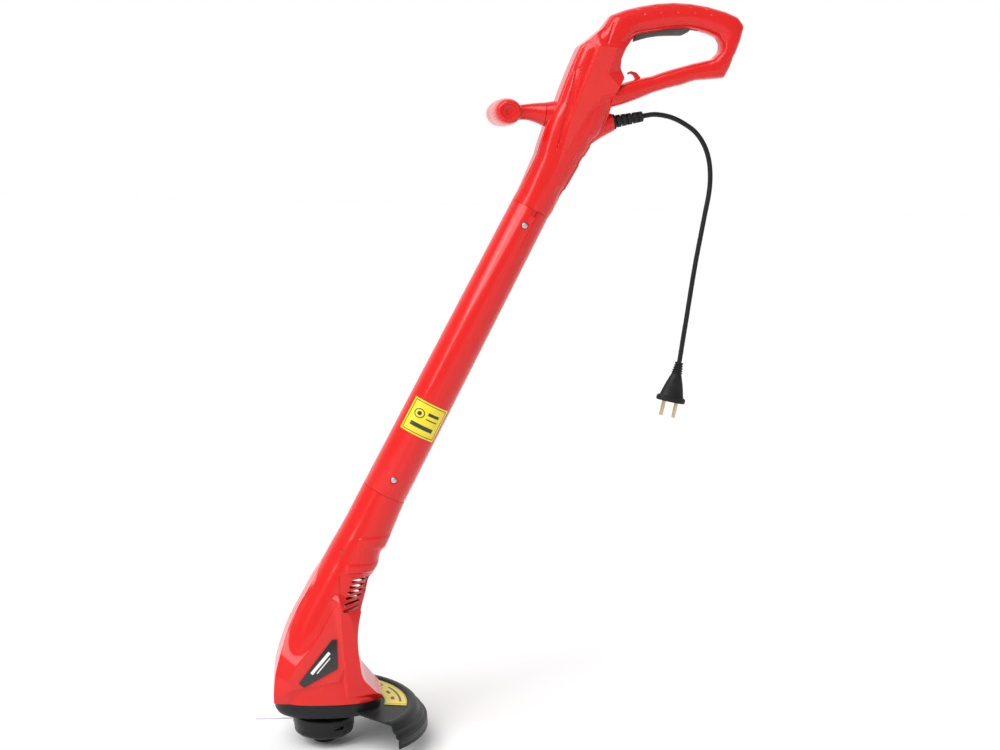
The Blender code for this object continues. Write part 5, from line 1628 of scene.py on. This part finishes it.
def plug_line():
    end, before = Vector(CORD_ROUTE[-1]), Vector(CORD_ROUTE[-2])
    return end, (PLUG_LEAN + (end - before).normalized()).normalized()


def plug_shape():
    """A slim plug: ribbed neck, tapered body and a wide flange."""
    start, ahead = plug_line()
    begin = start + ahead * GAP
    stations = [(0.0, 0.0042, 0.0042)]
    for index in range(5):
        low = 0.0005 + 0.0030 * index
        wide = 0.0052 + 0.0004 * index
        stations += [(low + 0.0004, wide, wide * 0.95), (low + 0.0018, wide, wide * 0.95)]
        stations += [(low + 0.0022, wide - 0.0009, wide * 0.95 - 0.0009)]
        stations += [(low + 0.0028, wide - 0.0009, wide * 0.95 - 0.0009)]
    stations += [
        (0.0160, 0.0068, 0.0058),
        (0.0200, 0.0082, 0.0064),
        (0.0270, 0.0107, 0.0072),
        (0.0340, 0.0128, 0.0079),
        (0.0420, 0.0150, 0.0085),
        (0.0432, 0.0158, 0.0090),
        (0.0438, PLUG_RADIUS - 0.0012, 0.0100),
        (0.0446, PLUG_RADIUS - 0.0003, 0.0108),
        (0.0456, PLUG_RADIUS, 0.0110),
        (PLUG_LENGTH - 0.0006, PLUG_RADIUS, 0.0110),
        (PLUG_LENGTH, PLUG_RADIUS - 0.0006, 0.0104),
    ]
    across = ahead.cross(Vector((0, 1, 0))).normalized()
    loops = []
    for distance, wide, deep in stations:
        centre = begin + ahead * distance
        loop = []
        for index in range(72):
            angle = math.tau * index / 72
            loop.append(centre + across * wide * math.cos(angle) + Vector((0, deep * math.sin(angle), 0)))
        loops.append([tuple(point) for point in loop])
    return settle(skin("plug", loops), "mains_plug", ["cord_rubber"])


def plug_pin(word, side):
    start, ahead = plug_line()
    across = ahead.cross(Vector((0, 1, 0))).normalized()
    face = start + ahead * (2 * GAP + PLUG_LENGTH) + across * side * PIN_SPACING / 2
    radius, length = PIN_RADIUS, PIN_LENGTH
    profile = [
        (0, 0),
        (radius, 0),
        (radius, length - 0.0016),
        (radius * 0.9, length - 0.0008),
        (radius * 0.6, length - 0.0002),
        (radius * 0.3, length),
        (0, length),
    ]
    return settle(lathe(profile, 40, along(face, ahead)), f"contact_pin_{word}", ["pin_brass"])


# ---------------------------------------------------------------- fitting pieces to the frame


def fit(item, body, slot, *nodes):
    """A finished piece moves with its body and stands for its plain solids."""
    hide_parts(*nodes)
    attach(item, body)
    return item


SIDES = (("left", -1), ("right", 1))
HIDDEN_LOOKS = {
    "line_spool": "bracket_grey",
    "wound_line": "line_nylon",
    "feed_spring": "screw_steel",
    "motor_shaft": "blade_steel",
    "lower_bearing": "screw_steel",
    "lower_bracket": "bracket_grey",
    "stator_core": "lamination",
    "field_winding": "winding",
    "commutator": "bar_copper",
    "upper_bearing": "screw_steel",
    "upper_bracket": "bracket_grey",
    "drive_hub": "inner_black",
    "fan": "inner_black",
    "armature_core": "lamination",
    "brush_left": "brush_carbon",
    "brush_right": "brush_carbon",
    "brush_holder_left": "bracket_grey",
    "brush_holder_right": "bracket_grey",
    "inner_lead": "cord_rubber",
    "trigger_pin": "screw_steel",
    "trigger_spring": "screw_steel",
    "switch_body": "inner_black",
    "switch_plunger": "bracket_grey",
    "suppression_capacitor": "film_case",
}


class BuildPart(bpy.types.Operator):
    """Operator undo settings; none of the build operators below derive from it."""

    bl_options = {"REGISTER", "UNDO"}


class TRIMMER_OT_stage(bpy.types.Operator):
    """Set up the camera, the floor and the soft studio light."""

    bl_idname = "trimmer.stage"
    bl_label = "Stage"

    def execute(self, context):
        build_stage(context.scene)
        return {"FINISHED"}


class TRIMMER_OT_cord(bpy.types.Operator):
    """Build the cord with its strain relief, plug and pins."""

    bl_idname = "trimmer.cord"
    bl_label = "Cord and Plug"

    def execute(self, context):
        plug = fit(plug_shape(), "machine", "black_rubber", "plug_body")
        pins = [
            fit(plug_pin(word, side), "machine", "plug_pin_metal", f"plug_pin_{word}")
            for word, side in (("front", -1), ("rear", 1))
        ]
        cord_piece()
        fit(strain_relief(), "machine", "black_rubber", "cord_gland")
        return {"FINISHED"}


class TRIMMER_OT_head(bpy.types.Operator):
    """Build the two motor covers, their name plates and screws."""

    bl_idname = "trimmer.head"
    bl_label = "Motor Head"

    def execute(self, context):
        for word, side in SIDES:
            fit(head_shell(word, side), "machine", "red_gloss_plastic", f"head_shell_{word}")
            fit(badge(word, side), "machine", "black_plastic", f"badge_{word}")
        for word, x, z in HEAD_SCREWS:
            fit(side_screw(f"cover_screw_{word}", x, z), "machine", "bright_steel", f"head_screw_{word}")
        return {"FINISHED"}


class TRIMMER_OT_guard(bpy.types.Operator):
    """Build the guard, its label, its screws and the line blade."""

    bl_idname = "trimmer.guard"
    bl_label = "Guard"

    def execute(self, context):
        fit(guard(), "machine", "black_plastic", "guard")
        fit(sector_label(), "machine", "yellow_label", "guard_label")
        fit(line_blade(), "machine", "bright_steel", "line_cutter")
        for word, side in SIDES:
            place = along((0.0335, side * 0.0318, 0.0455), (0, 0, -1))
            screw = cross_screw(f"base_screw_{word}", place, 0.0033, 0.0025, 0.0016, 0.0115)
            fit(screw, "machine", "bright_steel", f"guard_screw_{word}")
        return {"FINISHED"}


class TRIMMER_OT_reel(bpy.types.Operator):
    """Build the cutting head: housing, cover, tap button, eyelet and line."""

    bl_idname = "trimmer.reel"
    bl_label = "Cutting Head"

    def execute(self, context):
        fit(reel_housing(), "rotor", "black_plastic", "spool_housing")
        fit(reel_cover(), "rotor", "black_plastic", "spool_cover")
        fit(bump_button(), "feed_button", "black_plastic", "tap_button")
        fit(line_tail(), "rotor", "nylon_line", "cutting_line")
        fit(eyelet(), "rotor", "bright_steel", "line_eyelet")
        return {"FINISHED"}


class TRIMMER_OT_shaft(bpy.types.Operator):
    """Build the shaft tube, its label and its two screws."""

    bl_idname = "trimmer.shaft"
    bl_label = "Shaft"

    def execute(self, context):
        fit(shaft(), "machine", "red_gloss_plastic", "shaft_tube")
        fit(wrapped_label(), "machine", "yellow_label", "noise_label")
        for word, distance in zip(("lower", "upper"), TUBE_SCREWS):
            fit(tube_screw(word, distance), "machine", "bright_steel", f"tube_screw_{word}")
        return {"FINISHED"}


class TRIMMER_OT_handle(bpy.types.Operator):
    """Build the handle halves, trigger, front handle and handle screws."""

    bl_idname = "trimmer.handle"
    bl_label = "Handle"

    def execute(self, context):
        for word, side in SIDES:
            fit(handle_half(word, side), "machine", "red_gloss_plastic", f"handle_shell_{word}")
        for word, x, z in HANDLE_SCREWS:
            screw = side_screw(f"grip_screw_{word}", *from_top((x, z)))
            fit(screw, "machine", "bright_steel", f"handle_screw_{word}")
        fit(trigger_lever(), "trigger_lever", "grey_plastic", "trigger")
        fit(front_handle(), "machine", "red_gloss_plastic", "front_grip")
        return {"FINISHED"}


class TRIMMER_OT_inside(bpy.types.Operator):
    """Give the motor, switch and spool their real finishes."""

    bl_idname = "trimmer.inside"
    bl_label = "Inner Parts"

    def execute(self, context):
        for name, finish in HIDDEN_LOOKS.items():
            item = frame["nodes"][name]
            item.data.materials.clear()
            item.data.materials.append(look(finish))
        return {"FINISHED"}


# ---------------------------------------------------------------- stage


def build_stage(scene):
    lens = bpy.data.cameras.new("Camera")
    lens.lens = CAMERA_LENS
    lens.sensor_width = 36.0
    camera = bpy.data.objects.new("Camera", lens)
    scene.collection.objects.link(camera)
    turn = Matrix((CAMERA_RIGHT, CAMERA_UP, -CAMERA_AHEAD)).transposed().to_4x4()
    camera.matrix_world = Matrix.Translation(CAMERA_PLACE) @ turn
    scene.camera = camera
    scene.view_settings.view_transform = "Standard"

    world = bpy.data.worlds.new("Studio")
    scene.world = world
    world.use_nodes = True
    light_room(world.node_tree)

    deselect()
    bpy.ops.mesh.primitive_plane_add(size=60.0, location=(0, 0, -0.0005))
    floor = bpy.context.object
    floor.name = "studio_floor"
    finish = Finish("Pale floor")
    cloud = finish.noise(0.4, 3.0)
    paint = finish.mix(cloud, (0.95, 0.95, 0.95), (0.98, 0.98, 0.98))
    floor.data.materials.append(finish.close(Base_Color=paint, Roughness=0.85 + cloud * 0.05))

    sun = bpy.data.lights.new("broad daylight", "SUN")
    sun.energy = 2.2
    sun.angle = math.radians(50)
    high = bpy.data.objects.new("broad daylight", sun)
    high.matrix_world = Vector((0.55, 0.62, -0.95)).to_track_quat("-Z", "Y").to_matrix().to_4x4()
    scene.collection.objects.link(high)
    add_softbox(scene, "key light", (-1.6, -1.5, 1.7), (0.15, 0.0, 0.5), (0.45, 1.8), 11.0)


def light_room(tree):
    """A white wall behind the trimmer and a dimmer room in front of it."""
    nodes, links = tree.nodes, tree.links
    backdrop = nodes["Background"]
    places = nodes.new("ShaderNodeTexCoord")
    parts = nodes.new("ShaderNodeSeparateXYZ")
    ramp = nodes.new("ShaderNodeMapRange")
    ramp.interpolation_type = "SMOOTHSTEP"
    for name, value in (("From Min", 0.15), ("From Max", 0.70), ("To Min", 0.42), ("To Max", 1.0)):
        ramp.inputs[name].default_value = value
    links.new(places.outputs["Generated"], parts.inputs[0])
    links.new(parts.outputs["Y"], ramp.inputs["Value"])
    links.new(ramp.outputs["Result"], backdrop.inputs["Color"])
    backdrop.inputs["Strength"].default_value = 1.0


def add_softbox(scene, name, place, target, size, power):
    lamp = bpy.data.lights.new(name, "AREA")
    lamp.shape = "RECTANGLE"
    lamp.size, lamp.size_y = size
    lamp.energy = power
    box = bpy.data.objects.new(name, lamp)
    ahead = Vector(target) - Vector(place)
    box.matrix_world = Matrix.Translation(place) @ ahead.to_track_quat("-Z", "Y").to_matrix().to_4x4()
    scene.collection.objects.link(box)


# ---------------------------------------------------------------- panel and registration


class TRIMMER_PT_pieces(bpy.types.Panel):
    """Lists the trimmer's build steps and settings."""

    bl_label = "String Trimmer"
    bl_idname = "TRIMMER_PT_pieces"
    bl_space_type = "VIEW_3D"
    bl_region_type = "UI"
    bl_category = "Trimmer"

    def draw(self, context):
        for step in STEPS:
            self.layout.operator(step.bl_idname)
        for group in (context.scene.trimmer_sizes, context.scene.trimmer_colours):
            for name in group.__annotations__:
                self.layout.prop(group, name)


STEPS = (
    TRIMMER_OT_cord,
    TRIMMER_OT_head,
    TRIMMER_OT_guard,
    TRIMMER_OT_reel,
    TRIMMER_OT_shaft,
    TRIMMER_OT_handle,
    TRIMMER_OT_inside,
    TRIMMER_OT_stage,
)
CLASSES = (TrimmerSizes, TrimmerColours, *STEPS, TRIMMER_PT_pieces)


def register():
    for item in CLASSES:
        bpy.utils.register_class(item)
    bpy.types.Scene.trimmer_sizes = PointerProperty(type=TrimmerSizes)
    bpy.types.Scene.trimmer_colours = PointerProperty(type=TrimmerColours)


def unregister():
    del bpy.types.Scene.trimmer_colours
    del bpy.types.Scene.trimmer_sizes
    for item in reversed(CLASSES):
        bpy.utils.unregister_class(item)


def main():
    register()
    bpy.ops.trimmer.cord()
    bpy.ops.trimmer.head()
    bpy.ops.trimmer.guard()
    bpy.ops.trimmer.reel()
    bpy.ops.trimmer.shaft()
    bpy.ops.trimmer.handle()
    bpy.ops.trimmer.inside()
    bpy.ops.trimmer.stage()


if __name__ == "__main__":
    main()
